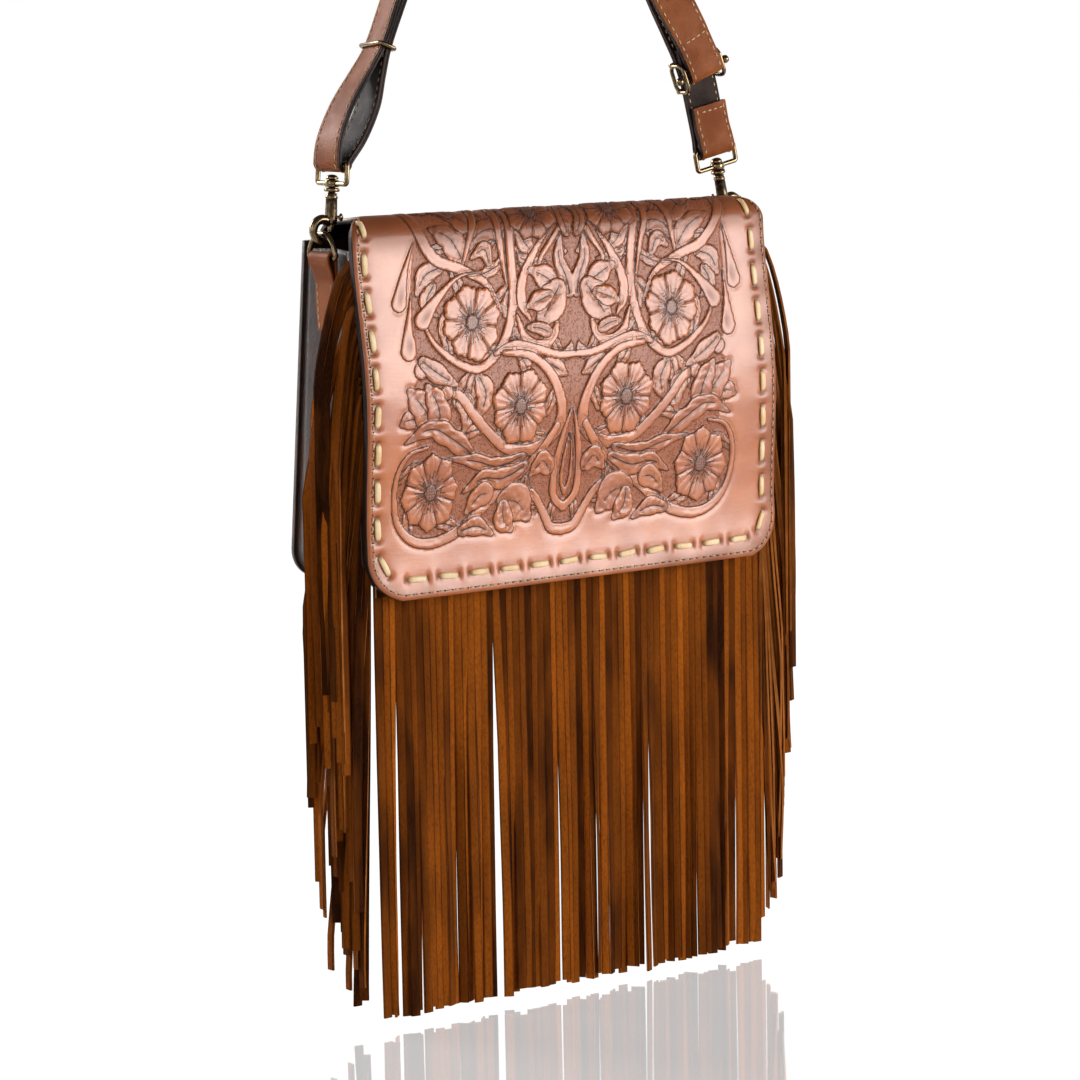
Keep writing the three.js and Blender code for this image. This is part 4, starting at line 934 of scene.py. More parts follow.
bm = bmesh.new()
tucked = bm.verts.layers.float.new("tucked")
for x, level, way_x, way_d in stitches:
    along = flap_way(x, level, way_x, way_d)
    askew = rng.normal(0, 0.05)
    wide = LACE_WIDE * (1 + rng.normal(0, 0.05))
    made = bmesh.ops.create_uvsphere(bm, u_segments=12, v_segments=12, radius=1)["verts"]
    for vert in made:
        across, up, far = vert.co
        far, across = math.copysign(abs(far) ** 0.55, far), math.copysign(abs(across) ** 0.8, across)
        run = far * LACE_SHOWN / 2
        aside = across * wide / 2 * (1 - 0.22 * abs(far) ** 5) + askew * run
        lift = LACE_LIFT - LACE_DIP * abs(far) ** 5 + up * LACE_THICK / 2
        vert.co, _ = flap_spot(x + way_x * run + way_d * aside, level + way_d * run - way_x * aside, lift)
        vert[tucked] = abs(far)
lace = finish_piece("lace_stitches", bm, rawhide)
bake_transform(lace)
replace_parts(lace, "flap_lace")

# The front fringe: a comb of soft suede whose uncut band is sewn into the bottom seam of the front. The
# strips are cut by hand, and drift, turn and bunch a little as they hang.
FRINGE_HALF, FRINGE_BAND, FRINGE_ROOT, FRINGE_TIP, FRINGE_Y = 0.134, -0.178, -0.192, -0.428, -0.0268
STRIPS, STRIP_WIDE, STRIP_CUP, SUEDE = 62, 0.0051, 0.0003, 0.0012
GAPS = ((-122, 1.6), (-106, 0.7), (-84, 1.2), (-69, 1.3), (-55, 2.4), (-22, 1.6), (-13, 1.3), (23, 1.5),
        (59, 0.7), (117, 1.2), (127, 1.6))

suede, tree = new_material("suede")
where = add(tree, "ShaderNodeTexCoord")["Object"]
nap, brushed = noise(tree, where, (900, 900, 420), 5.0, 0.7), noise(tree, where, (90, 90, 16), 3.0)
shade = maths(tree, "ADD", attribute(tree, "tone"), ramp(tree, brushed, 0.3, 0.7, -0.16, 0.16))
brown = colour_mix(tree, shade, (0.018, 0.004, 0.0006), (0.40, 0.099, 0.007))
brown = colour_mix(tree, ramp(tree, nap, 0.42, 0.68, 0.0, 0.45), brown, (0.06, 0.013, 0.001))
end_material(tree, brown, 0.92, bumped(tree, nap, 0.55, 0.0005), {
    "Sheen Weight": 0.1, "Sheen Roughness": 0.5, "Sheen Tint": (0.8, 0.35, 0.1), "Specular IOR Level": 0.06,
})
# Painted highlight: the strips' cut edges get a lighter orange leather than their faces, as if lit.
suede_edge_highlight = leather("suede_edge_highlight", (0.22, 0.060, 0.008), (0.40, 0.130, 0.026), 1400, 0.8, 0.3,
                     coat=0.0, shine=0.1)


def add_strip(bm, line, facing, wide, tone):
    """A flat strip along a line; facing is the angle of its width from the X axis at each point."""
    layer = bm.verts.layers.float.get("tone") or bm.verts.layers.float.new("tone")
    steps = len(line) - 1
    made = bmesh.ops.create_grid(bm, x_segments=3, y_segments=steps, size=1)["verts"]
    for vert in made:
        k = round((vert.co.y + 1) / 2 * steps)
        outer = abs(vert.co.x) > 0.5
        side = vert.co.x * wide / 2 * (1 if outer else 1.8)
        cup = 0 if outer else STRIP_CUP
        x, y, z = line[k]
        turn_x, turn_y = math.cos(facing[k]), math.sin(facing[k])
        vert.co = (x + side * turn_x + cup * turn_y, y + side * turn_y - cup * turn_x, z)
        # Painted shade: the strip's two outer edges get a small share of its tone, which draws dark lines
        # between neighbouring strips.
        vert[layer] = tone * (0.12 if outer else 1)


bm = bmesh.new()
pitch = 2 * FRINGE_HALF / STRIPS
share = np.linspace(0, 1, 27)
for k in range(STRIPS):
    length = FRINGE_BAND - FRINGE_TIP + rng.normal(0, 0.0012)
    x = -FRINGE_HALF + (k + 0.5) * pitch
    parted = sum(wide * math.copysign(math.exp(-abs(x / MM - at) / 8), x / MM - at) for at, wide in GAPS) * MM
    kink, phase, layer_y = rng.normal(0, 0.0004), rng.uniform(0, 6.28), rng.normal(0, 0.0003)
    drift = parted * np.clip((2.6 if x < -0.05 else 1.6) * share - 0.1, 0, 1) + rng.normal(0, 0.0004) * share
    wander = kink * np.sin(9 * share + phase) * np.clip(share - 0.35, 0, 1) ** 1.2 * 2.2
    sway = layer_y + rng.normal(0, 0.0012) * share ** 1.5 + 0.4 * wander
    turned_most = rng.normal(0, 0.2) if rng.random() > 0.22 else rng.choice([-0.6, 1]) * rng.uniform(0.6, 1.3)
    free = np.clip((share * length - (FRINGE_BAND - FRINGE_ROOT)) / length, 0, 1)
    facing = turned_most * np.clip((free - 0.08) * 1.9, 0, 1) - 0.3 + 0.12 * np.sin(7 * free + phase) * free
    line = np.stack([x + drift + wander, FRINGE_Y + sway * np.clip(free * 8 + 0.25, 0, 1),
                     FRINGE_BAND - share * length + BROW], -1)
    # Painted shade: about three strips in ten are made darker, standing in for strips that hang in shadow
    # behind others.
    tone = rng.normal(0.6, 0.2) - 0.35 * (rng.random() < 0.3)
    add_strip(bm, line, facing, STRIP_WIDE + rng.normal(0, 0.00025), float(np.clip(tone, 0.08, 1)))
band_z = np.linspace(FRINGE_BAND, FRINGE_ROOT, 3) + BROW
band = np.stack([np.zeros(3), np.full(3, FRINGE_Y - 0.0016), band_z], -1)
add_strip(bm, band, np.zeros(3), 2 * FRINGE_HALF, 0.6)
front_fringe = thicken(finish_piece("front_fringe", bm, suede, suede_edge_highlight, smooth=False), SUEDE, rim=1)
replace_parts(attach(front_fringe, "bag"), "fringe_front")

# The side fringes: a suede comb sewn all down each side seam. Its strips turn down over one another, so those
# sewn highest hang outermost and end first, in a staircase of square-cut ends.
SIDE_STRIPS, SIDE_LENGTH, SIDE_TOP, SIDE_LOW = 40, 0.236, -0.008, -0.186
SEWN_X, HUNG_X, FARTHEST_X, HUNG_Y = 0.1378, 0.1410, 0.1650, -0.0245


def side_fringe(name, side, spread, reach_out):
    bm = bmesh.new()
    for k in range(SIDE_STRIPS):
        place = k / (SIDE_STRIPS - 1)
        over = 1 - place
        root = SIDE_TOP + (SIDE_LOW - SIDE_TOP) * place
        set_back = 0.12 * over + 0.88 * rng.uniform() * (1 if side < 0 else over ** 0.5)
        out_to = HUNG_X + reach_out * (0.45 * over + 0.55 * set_back) + rng.normal(0, 0.001)
        out_to = min(out_to - 0.06 * max(place - 0.9, 0), FARTHEST_X)
        back_to = HUNG_Y + spread * set_back + rng.normal(0, 0.0015)
        share = np.linspace(0, 1, 25)
        below = share * (SIDE_LENGTH + rng.normal(0, 0.002))
        moved = np.clip(below / (SIDE_LENGTH * (1 - 0.72 * over)), 0, 1)
        moved = moved ** 1.15 * (1.3 - 0.3 * moved)
        wander = rng.normal(0, 0.0011) * np.sin(7 * share + rng.uniform(0, 6.28)) * share
        start = FRONT_TOP - FRONT_LEAN * root / BODY_DROP
        x = SEWN_X + (out_to - SEWN_X) * moved ** (1.1 - 0.65 * over) + np.abs(wander) * 0.6
        y = start + (back_to - start) * moved + wander
        final = rng.uniform(0.15, 1.9)
        facing = side * (1.2 + (final - 1.2) * np.clip(share * 1.8, 0, 1))
        facing += rng.normal(0, 0.15) * np.sin(5 * share)
        line = np.stack([side * x, y, root - below + BROW], -1)
        # Painted shade: the side strips get a lower tone than the front ones, and those sewn lower, which
        # hang inside the others, get the lowest.
        add_strip(bm, line, facing, STRIP_WIDE + rng.normal(0, 0.0003),
                  float(np.clip(rng.normal(0.22 + 0.2 * over, 0.28), 0.04, 1)))
    made = thicken(finish_piece(name, bm, suede, suede_edge_highlight, smooth=False), SUEDE, rim=1)
    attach(made, "bag")
    return made


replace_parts(side_fringe("side_fringe_left", -1, 0.034, 0.0215), "fringe_left")
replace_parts(side_fringe("side_fringe_right", 1, 0.006, 0.0305), "fringe_right")

# The ring tabs: a strip of tan leather folded round the straight side of each D-ring, tapering down, and
# sewn through to the gusset with two rows of stitches.
TAB_WALL_X, TAB_Y, TAB_HALF, TAB_LOW, TAB_FREE, TAB_LEATHER = 0.1390, 0.003, 0.010, -0.048, -0.021, 0.0014
TAB_TAPER, TAB_STITCH, TAB_STITCH_INSET = 0.28, 0.0042, 0.0022
RING_X, RING_Z, RING_BOW, RING_WIRE = 0.1424, -0.0081, 0.013, 0.0015

tan_leather = leather("tan_leather", (0.15, 0.033, 0.003), (0.24, 0.060, 0.008), 1100, 0.5, 0.25,
                      coat=0.0, shine=0.12)


def ribbon(bm, line, ways, halves, steps):
    """A flat band along a line, with the way across it and half its width at each point."""
    for vert in bmesh.ops.create_grid(bm, x_segments=steps, y_segments=len(line) - 1, size=1)["verts"]:
        k = round((vert.co.y + 1) / 2 * (len(line) - 1))
        vert.co = Vector(line[k]) + Vector(ways[k]) * float(halves[k]) * vert.co.x


def tab_half(z):
    """Half the tab's width at a height: it tapers down from the ring."""
    return TAB_HALF * (1 - TAB_TAPER * np.clip((RING_Z - 0.004 - z) / 0.04, 0, 1))


def ring_tab(name, side):
    bend = RING_WIRE + 0.0004 + TAB_LEATHER / 2
    inner, outer = TAB_WALL_X + TAB_LEATHER / 2, TAB_WALL_X + 1.6 * TAB_LEATHER
    line = [(outer, z) for z in np.linspace(TAB_LOW, TAB_FREE, 8)]
    line += [(outer + 0.0012, -0.0165), (RING_X + bend * 0.85, RING_Z - bend * 1.15)]
    line += [(RING_X + bend * math.cos(a), RING_Z + bend * math.sin(a)) for a in np.linspace(0, math.pi, 9)]
    line += [(inner + 0.0002, RING_Z - 0.006), (inner, TAB_FREE), (inner, TAB_LOW)]
    line = smooth_curve(line, 3)
    bm = bmesh.new()
    ribbon(bm, [(side * x, TAB_Y, z + BROW) for x, z in line], [(0, 1, 0)] * len(line),
           [tab_half(z) for _, z in line], 8)
    made = thicken(finish_piece(name, bm, tan_leather), TAB_LEATHER, 0.0004)
    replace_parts(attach(made, "bag"), name.replace("tab_loop", "ring_tab"))
    places = []
    for z in np.arange(TAB_LOW + 0.003, -0.022, TAB_STITCH):
        aside = tab_half(z) - TAB_STITCH_INSET
        for edge in (-1, 1):
            spot = (side * (outer + TAB_LEATHER / 2), TAB_Y + edge * aside, z + BROW)
            places.append((spot, (0, 0, 1), (side, 0, 0)))
    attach(stitch_run(name + "_stitches", places, STITCH_LONG, STITCH_ROUND, pale_thread), "bag")


ring_tab("tab_loop_left", -1)
ring_tab("tab_loop_right", 1)

# The D-rings: brass wire, bent to a bow and a straight side, and soldered at the joint. The antique finish is
# dark in the hollows and rubbed bright on top.
wear, ends_in, ends_out = group("rubbed_metal", [("Scale", 300.0)], ["Bright", "Height"])
spread = noise(wear, add(wear, "ShaderNodeTexCoord")["Object"], ends_in.outputs["Scale"], 5.0, 0.65)
raised = ramp(wear, add(wear, "ShaderNodeNewGeometry")["Pointiness"], 0.48, 0.56)
bright = maths(wear, "ADD", raised, ramp(wear, spread, 0.35, 0.75, -0.25, 0.35))
wear.links.new(bright, ends_out.inputs["Bright"])
wear.links.new(spread, ends_out.inputs["Height"])


def metal(name, dark, light, roughness):
    made, tree = new_material(name)
    rubbed_by = add(tree, "ShaderNodeGroup", node_tree=wear)
    mask = ramp(tree, rubbed_by["Bright"], 0.0, 1.0)
    rough = ramp(tree, mask, 0.0, 1.0, roughness + 0.14, roughness - 0.06)
    end_material(tree, colour_mix(tree, mask, dark, light), rough,
                 bumped(tree, rubbed_by["Height"], 0.12, 0.0003), {"Metallic": 1.0})
    return made


brass = metal("antique_brass", (0.022, 0.014, 0.009), (0.20, 0.140, 0.075), 0.27)
steel = metal("spring_steel", (0.30, 0.30, 0.31), (0.62, 0.62, 0.62), 0.3)


def add_wire(bm, points, radius, closed=False, swell=None):
    """A round wire along points, made as a curve and taken into the mesh. swell scales its thickness."""
    data = bpy.data.curves.new("wire_draft", "CURVE")
    data.dimensions, data.bevel_depth, data.bevel_resolution = "3D", radius, 4
    data.use_fill_caps = True
    spline = data.splines.new("POLY")
    spline.points.add(len(points) - 1)
    spline.use_cyclic_u = closed
    for k, (place, spot) in enumerate(zip(spline.points, points)):
        place.co = (*spot, 1)
        place.radius = 1 if swell is None else swell[k]
    draft = bpy.data.objects.new("wire_draft", data)
    mesh = bpy.data.meshes.new_from_object(draft)
    bm.from_mesh(mesh)
    bpy.data.meshes.remove(mesh)
    bpy.data.objects.remove(draft)
    bpy.data.curves.remove(data)


def close_up(bm):
    bmesh.ops.remove_doubles(bm, verts=bm.verts, dist=1e-6)
    bmesh.ops.recalc_face_normals(bm, faces=bm.faces)


def rounded_loop(wide, high, corner, steps=6):
    """A closed rectangle with round corners, as pairs."""
    spots = []
    for cx, cy, start in ((1, 1, 0), (-1, 1, 90), (-1, -1, 180), (1, -1, 270)):
        for a in np.radians(np.linspace(start, start + 90, steps)):
            spots.append((cx * (wide / 2 - corner) + corner * math.cos(a),
                          cy * (high / 2 - corner) + corner * math.sin(a)))
    return spots


def brass_piece(name, bm, body, node):
    """Closes a brass piece up, and puts it on its body in place of its plain node."""
    close_up(bm)
    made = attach(finish_piece(name, bm, brass), body)
    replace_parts(made, node)


def d_ring(name, side):
    bow = [(RING_BOW * math.cos(a), RING_BOW * math.sin(a)) for a in np.linspace(0.12, math.pi - 0.12, 31)]
    corner = [(-RING_BOW + 0.0003, 0.0006), (-RING_BOW + 0.0012, 0.0)]
    loop = bow + corner + [(0, 0)] + [(-y, z) for y, z in reversed(corner)]
    bm = bmesh.new()
    add_wire(bm, [(side * RING_X, TAB_Y + y, RING_Z + z + BROW) for y, z in loop], RING_WIRE, closed=True)
    brass_piece(name, bm, name.replace("bow_", "ring_"), name.replace("bow_", "d_ring_"))


d_ring("bow_left", -1)
d_ring("bow_right", 1)

# The swivel snaps: cast brass. A claw grows from a turned barrel, and a spring bolt with a thumb knob closes
# it. A post on the barrel turns in the boss of a flat wire eye, and is riveted over it in a dome.
CLAW, CLAW_WIRE, SHANK_X, CLAW_Z = 0.0055, 0.0021, 0.0055, 0.0065
SNAP_TILT = {-1: math.radians(4), 1: math.radians(12)}
EYE_WIDE, EYE_HIGH, EYE_CORNER, EYE_BASE, EYE_WIRE = 0.0288, 0.011, 0.0016, 0.0255, 0.0014
SPRING, SPRING_WIRE, SPRING_TURNS, SPRING_LOW, SPRING_HIGH = 0.00115, 0.00025, 4, 0.01105, 0.01715
SPRING_PRESSED, KNOB_TURN, KNOB_Z, KNOB_OUT = 0.18, math.radians(-45), 0.0075, 0.0056
KNOB_STEM, KNOB_WIRE = 0.0052, 0.0009
BARREL = [
    (0, 3.4), (2.6, 3.4), (3.3, 4.0), (3.5, 5.2), (3.4, 6.6), (3.25, 12), (3.1, 17.2), (3.3, 17.6),
    (3.5, 18.2), (3.3, 18.8), (3.0, 19.2), (3.2, 20.2), (2.0, 20.4), (1.9, 21.0), (3.9, 21.1), (4.3, 21.7),
    (4.3, 22.5), (3.9, 23.1), (1.9, 23.3), (1.9, 27.7), (3.1, 27.75), (3.5, 28.2), (3.3, 29.0), (2.5, 29.8),
    (1.3, 30.3), (0, 30.4),
]
BOLT = [(0, -0.9), (0.9, -0.8), (1.4, -0.3), (1.5, 0.4), (1.5, 10.4), (0, 10.5)]
KNOB = [(0, -1.0), (1.5, -1.0), (2.1, -0.5), (2.2, 0.1), (1.9, 0.6), (1.1, 1.0), (0, 1.1)]
BOSS = [(2.1, 23.6), (3.6, 23.6), (4.1, 24.2), (4.1, 26.8), (3.6, 27.4), (2.1, 27.4), (2.1, 23.6)]


def add_turned(bm, profile, place, steps=24):
    """A turned shape from a profile of radius and height in millimetres."""
    draft = bmesh.new()
    verts = [draft.verts.new((r * MM, 0, z * MM)) for r, z in profile]
    edges = [draft.edges.new(pair) for pair in zip(verts, verts[1:])]
    bmesh.ops.spin(draft, geom=verts + edges, cent=(0, 0, 0), axis=(0, 0, 1), angle=2 * math.pi, steps=steps,
                   use_merge=True)
    close_up(draft)
    draft.transform(place)
    mesh = bpy.data.meshes.new("turned_draft")
    draft.to_mesh(mesh)
    draft.free()
    bm.from_mesh(mesh)
    bpy.data.meshes.remove(mesh)


def snap_frame(side):
    turn = Matrix.Rotation(SNAP_TILT[side] * -side, 4, "Y")
    if side > 0:
        turn = turn @ Matrix.Rotation(math.pi, 4, "Z")
    return Matrix.Translation((side * RING_X, TAB_Y, CLAW_Z + BROW)) @ turn


def swivel_snap(name, side):
    snap = snap_frame(side)
    shank = snap @ Matrix.Translation((SHANK_X, 0, 0))
    bm = bmesh.new()
    add_turned(bm, BARREL, shank)
    sweep = np.radians(np.linspace(40, 336, 44))
    claw = [Vector((CLAW * math.cos(a), 0, CLAW * math.sin(a) * (1.08 if a < math.pi else 1))) for a in sweep]
    claw[:2] = Vector((SHANK_X - 0.0006, 0, 0.0062)), Vector((SHANK_X - 0.0013, 0, 0.0060))
    thick = np.interp(np.degrees(sweep), [40, 90, 160, 260, 330, 336], [1.35, 1.3, 1.12, 0.95, 0.8, 0.62])
    add_wire(bm, [snap @ spot for spot in claw], CLAW_WIRE, swell=thick)
    brass_piece(f"snap_{name}", bm, f"hook_{name}", f"hook_{name}")

    bm = bmesh.new()
    add_turned(bm, BOLT, shank, 16)
    knob_way = Vector((math.cos(KNOB_TURN), math.sin(KNOB_TURN), 0))
    stalk = [Vector((SHANK_X, 0, KNOB_Z)) + knob_way * d for d in np.linspace(0.0, KNOB_STEM, 6)]
    add_wire(bm, [snap @ spot for spot in stalk], KNOB_WIRE)
    knob = shank @ Matrix.Translation(knob_way * KNOB_OUT + Vector((0, 0, KNOB_Z)))
    add_turned(bm, KNOB, knob @ knob_way.to_track_quat("Z", "X").to_matrix().to_4x4(), 18)
    brass_piece(f"snap_bolt_{name}", bm, f"bolt_{name}", f"hook_bolt_{name}")

    bm = bmesh.new()
    turns = np.linspace(0, 2 * math.pi * SPRING_TURNS, 12 * SPRING_TURNS + 1)
    rises = np.linspace(SPRING_LOW, SPRING_HIGH, len(turns))
    helix = [Vector((SPRING * math.cos(a), SPRING * math.sin(a), z)) for a, z in zip(turns, rises)]
    add_wire(bm, [shank @ spot for spot in helix], SPRING_WIRE)
    close_up(bm)
    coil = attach(finish_piece(f"bolt_spring_{name}", bm, steel), f"hook_{name}")
    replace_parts(coil, f"hook_spring_{name}")
    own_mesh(coil)

    bm = bmesh.new()
    spots = []
    for across, up in rounded_loop(EYE_WIDE, EYE_HIGH, EYE_CORNER):
        rise = EYE_BASE + EYE_HIGH / 2 + up
        spots.append((SHANK_X + across, 0, rise) if side > 0 else (SHANK_X, across, rise))
    add_wire(bm, [snap @ Vector(spot) for spot in spots], EYE_WIRE, closed=True)
    add_turned(bm, BOSS, shank)
    brass_piece(f"eye_{name}", bm, "strap", f"strap_eye_{name}")


swivel_snap("left", -1)
swivel_snap("right", 1)

# The closure: a magnetic snap of plated brass, its socket on the front panel and its stud under the flap.
# Both are pressed parts held by bent prongs, shown as the plain solids with the brass finish.
for node in ("snap_socket", "snap_stud"):
    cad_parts[node].data.materials.clear()
    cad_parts[node].data.materials.append(brass)

# The strap: tan leather backed with dark leather, one inch wide, edges painted, sewn along both sides. One
# end goes round the left eye and back up through the keeper to the slider; the other round the right eye.
STRAP_HALF, STRAP_PLY, STRAP_THICK, LAYER_GAP = 0.012, 0.0013, 0.0029, 0.0005
STRAP_RIGHT = [
    (-5.9, 22.9, 90), (-11.9, 44.9, 90), (-21.9, 65.9, 90), (-32.9, 86.9, 84), (-54.4, 130.9, 52),
    (-75.4, 174.9, 18), (-92.4, 208.9, 2), (-109.4, 229.9, 0),
]
STRAP_TOP = 237.207
STRAP_LEFT = [(114.4, 228.5, 2), (97.4, 207.5, 5), (80.4, 173.5, 9), (61.4, 130.5, 11), (41.9, 86.5, 11),
              (30.9, 61.5, 10)]
LOOP_OUTER = [(20.4, 49.5), (7.4, 31.5), (-1.6, 12.5)]
LOOP_INNER = [(13.4, 11.5), (23.4, 29.5), (27.9, 45.5)]
STUB, SLIDER_TAIL, SLIDER_STANDOFF, KEEPER_STOP, SLIDER_STOP = 0.026, 0.017, 0.007, 14, 1
SLACK, SLIDER_PIN = 0.0003, 0.0013
EYE_BEND = 0.0016 + SLACK + STRAP_THICK / 2
FORWARD, BACKWARD = Vector((0, -1, 0)), Vector((0, 1, 0))

eye_bar = {side: snap_frame(side) @ Vector((SHANK_X, 0, EYE_BASE + EYE_HIGH)) for side in (-1, 1)}
eye_up = {side: (snap_frame(side).to_3x3() @ Vector((0, 0, 1))).normalized() for side in (-1, 1)}
strap_line = [(eye_bar[1].x + x * MM, eye_bar[1].z + z * MM, turn) for x, z, turn in STRAP_RIGHT]
strap_line.append((0.0, STRAP_TOP * MM + (eye_bar[1].z + eye_bar[-1].z) / 2, 0))
strap_line += [(eye_bar[-1].x + x * MM, eye_bar[-1].z + z * MM, turn) for x, z, turn in STRAP_LEFT]
layer_offset = (STRAP_THICK + LAYER_GAP) / 2


def line_frame(place):
    """A point on the strap's middle line, the way out of it and the way along it."""
    x, z, turn = strap_line[place]
    before, after = strap_line[max(place - 1, 0)], strap_line[min(place + 1, len(strap_line) - 1)]
    along = Vector((after[0] - before[0], 0, after[1] - before[1])).normalized()
    turn = math.radians(turn)
    out = Vector((along.z, 0, -along.x)) * math.cos(turn) + BACKWARD * math.sin(turn)
    return Vector((x, TAB_Y, z)), out, along


def bar_turn(centre, start, down, radius):
    """Stops half way round a bar, from one side of it to the other."""
    ways = [start * math.cos(a) + down * math.sin(a) for a in np.linspace(0, math.pi, 7)]
    return [(centre + way * radius, way) for way in ways]


def eye_loop(places, start, end):
    """Stops along one side of the open loop on the left eye, turning from one way towards another."""
    return [(Vector((eye_bar[-1].x + x * MM, TAB_Y, eye_bar[-1].z + z * MM)),
             start.lerp(end, (k + 1) / 4).normalized()) for k, (x, z) in enumerate(places)]


def strap_route():
    """Every stop of the strap's middle, with the way that its grain side faces."""
    up = eye_up[1]
    stops = [(eye_bar[1] + up * rise + FORWARD * off, FORWARD)
             for rise, off in ((STUB, layer_offset), (STUB / 2, layer_offset), (STUB / 4, EYE_BEND * 0.8))]
    stops += bar_turn(eye_bar[1], FORWARD, -up, EYE_BEND)
    stops.append((eye_bar[1] + up * STUB / 4 + BACKWARD * EYE_BEND * 0.8, BACKWARD))
    for k in range(len(strap_line)):
        point, out, _ = line_frame(k)
        stops.append((point + out * layer_offset, out))
    up = eye_up[-1]
    out = Vector((-up.z, 0, up.x))
    fall = line_frame(KEEPER_STOP)[1]
    stops += eye_loop(LOOP_OUTER, fall, out)
    stops += bar_turn(eye_bar[-1], out, -up, EYE_BEND)
    stops += eye_loop(LOOP_INNER, -out, -fall)
    for k in range(len(strap_line) - 1, SLIDER_STOP, -1):
        point, way, _ = line_frame(k)
        ahead = {3: 0.003, 2: 0.0052}.get(k, 0)
        stops.append((point - way * (layer_offset + ahead), -way))
    point, _, along = line_frame(SLIDER_STOP)
    bar = point + FORWARD * (SLIDER_STANDOFF - layer_offset)
    bend = SLIDER_PIN + SLACK + STRAP_THICK / 2
    stops += bar_turn(bar, FORWARD, -along, bend)
    stops.append((bar + BACKWARD * bend * 0.9 + along * SLIDER_TAIL, BACKWARD))
    return stops, bar, along


route, slider_bar, slider_up = strap_route()
middle = smooth_curve([spot for spot, _ in route], 8)
faces = smooth_curve([way for _, way in route], 8)
ahead = np.gradient(middle, axis=0)
ahead /= np.linalg.norm(ahead, axis=1, keepdims=True)
faces -= ahead * np.sum(faces * ahead, axis=1, keepdims=True)
faces /= np.linalg.norm(faces, axis=1, keepdims=True)
strap_across = np.cross(ahead, faces)
strap_run = np.concatenate([[0], np.cumsum(np.linalg.norm(np.diff(middle, axis=0), axis=1))])


def strap_ply(name, offset, finish):
    bm = bmesh.new()
    line = middle + faces * offset
    ribbon(bm, line, strap_across, [STRAP_HALF] * len(line), 6)
    made = thicken(finish_piece(name, bm, finish, edge_paint), STRAP_PLY, 0.00035, rim=1)
    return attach(made, "strap")


PLY_OFFSET = 0.0008
grain_ply = strap_ply("strap_grain", PLY_OFFSET, tan_leather)
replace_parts(grain_ply, "strap")
strap_lining = leather("strap_lining", (0.010, 0.005, 0.004), (0.030, 0.014, 0.009), 900, 0.6, 0.4,
                       coat=0.0, shine=0.12)
back_ply = strap_ply("strap_back", -PLY_OFFSET, strap_lining)
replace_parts(back_ply, "strap_lining")

STRAP_STITCH, STRAP_INSET, ROW_LIFT = 0.0046, 0.0022, STRAP_THICK / 2 + 0.0001
strap_tables = np.hstack([middle, strap_across, faces, ahead])


def strap_spot(d, side, lift):
    """A point on the strap at a distance along it, and the ways along, out of and across it there."""
    spot = [np.interp(d, strap_run, column) for column in strap_tables.T]
    centre, across, face, along = (Vector(spot[k:k + 3]) for k in (0, 3, 6, 9))
    face = face.normalized()
    return centre + across.normalized() * side + face * lift, along.normalized(), face, across


rows = {1: [], -1: []}
for d in np.arange(0.003, strap_run[-1] - 0.002, STRAP_STITCH):
    for edge in (-1, 1):
        for sign in (1, -1):
            spot, along, face, _ = strap_spot(d, edge * (STRAP_HALF - STRAP_INSET), sign * ROW_LIFT)
            rows[sign].append((spot, along, face * sign))
for d in (0.0035, strap_run[-1] - SLIDER_TAIL - 0.03):
    for side in np.arange(-0.0075, 0.0076, 0.0042):
        spot, _, face, across = strap_spot(d, side, ROW_LIFT)
        rows[1].append((spot, across, face))
strap_seams = stitch_run("strap_stitches", rows[1], 0.0036, 0.0005, pale_thread)
lining_seams = stitch_run("strap_back_stitches", rows[-1], 0.0030, 0.00045, pale_thread)
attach(strap_seams, "strap")
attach(lining_seams, "strap")

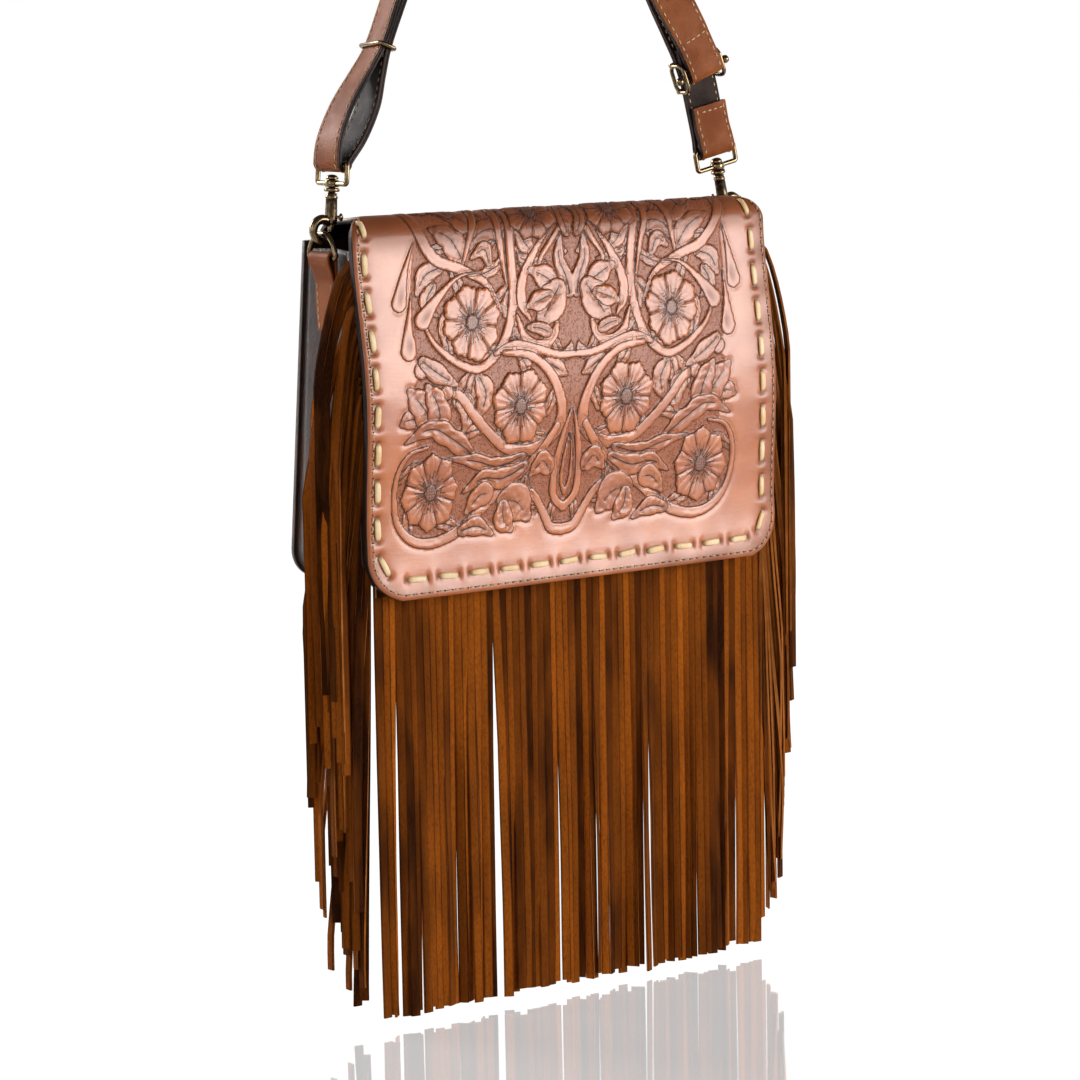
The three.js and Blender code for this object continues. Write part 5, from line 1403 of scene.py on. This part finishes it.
# The keeper: a thin brass wire, bent to a rectangle round both layers of the left leg and soldered at the
# back. It is free to slide on them.
KEEPER_WIRE, KEEPER_ROOM = 0.0012, 0.0032
point, out, along = line_frame(KEEPER_STOP)
bm = bmesh.new()
loop = rounded_loop(2 * STRAP_HALF + KEEPER_ROOM, 2 * STRAP_THICK + LAYER_GAP + KEEPER_ROOM, 0.002)
add_wire(bm, [point + along.cross(out) * across + out * up for across, up in loop], KEEPER_WIRE, closed=True)
brass_piece("keeper_wire", bm, "keeper", "strap_keeper")

# The slider: two brass wire loops joined by rails, with a round bar that ends in small balls. The strap's end
# turns round the bar, and its other layer passes behind.
SLIDER_HIGH, SLIDER_DEEP, SLIDER_CORNER, CHEEK_X, CHEEK_WIRE = 0.019, 0.01425, 0.0042, 0.014, 0.0012
RAIL, RAIL_WIRE, PIN_HALF, BALL_X = 0.0014, 0.0013, 0.0172, 0.0177
BALL = [(0, -2.3), (1.2, -2.1), (2.1, -1.3), (2.5, 0), (2.1, 1.3), (1.2, 2.1), (0, 2.3)]
slider_across = BACKWARD.cross(slider_up).normalized()
slider_place = Matrix((slider_across, BACKWARD, slider_up)).transposed().to_4x4()
slider_place.translation = slider_bar


def slider_wire(bm, spots, radius, closed=False):
    add_wire(bm, [slider_place @ Vector(spot) for spot in spots], radius, closed)


bm = bmesh.new()
rail_y = SLIDER_STANDOFF + STRAP_THICK / 2 + SLACK + RAIL
cheek_y = rail_y - SLIDER_DEEP / 2 + RAIL
cheek = rounded_loop(SLIDER_DEEP - 2 * RAIL, SLIDER_HIGH - 2 * RAIL, SLIDER_CORNER)
for end in (-1, 1):
    slider_wire(bm, [(end * CHEEK_X, cheek_y + y, z) for y, z in cheek], CHEEK_WIRE, closed=True)
    rail_z = end * (SLIDER_HIGH / 2 - RAIL)
    slider_wire(bm, [(x, rail_y, rail_z) for x in np.linspace(-CHEEK_X, CHEEK_X, 5)], RAIL_WIRE)
brass_piece("slider_loops", bm, "strap", "slider_frame")
bm = bmesh.new()
slider_wire(bm, [(x, 0, 0) for x in np.linspace(-PIN_HALF, PIN_HALF, 7)], SLIDER_PIN)
for end in (-1, 1):
    turn = Matrix.Translation((end * BALL_X, 0, 0)) @ Matrix.Rotation(math.pi / 2, 4, "Y")
    add_turned(bm, BALL, slider_place @ turn, 16)
brass_piece("slider_pin", bm, "strap", "slider_bar")
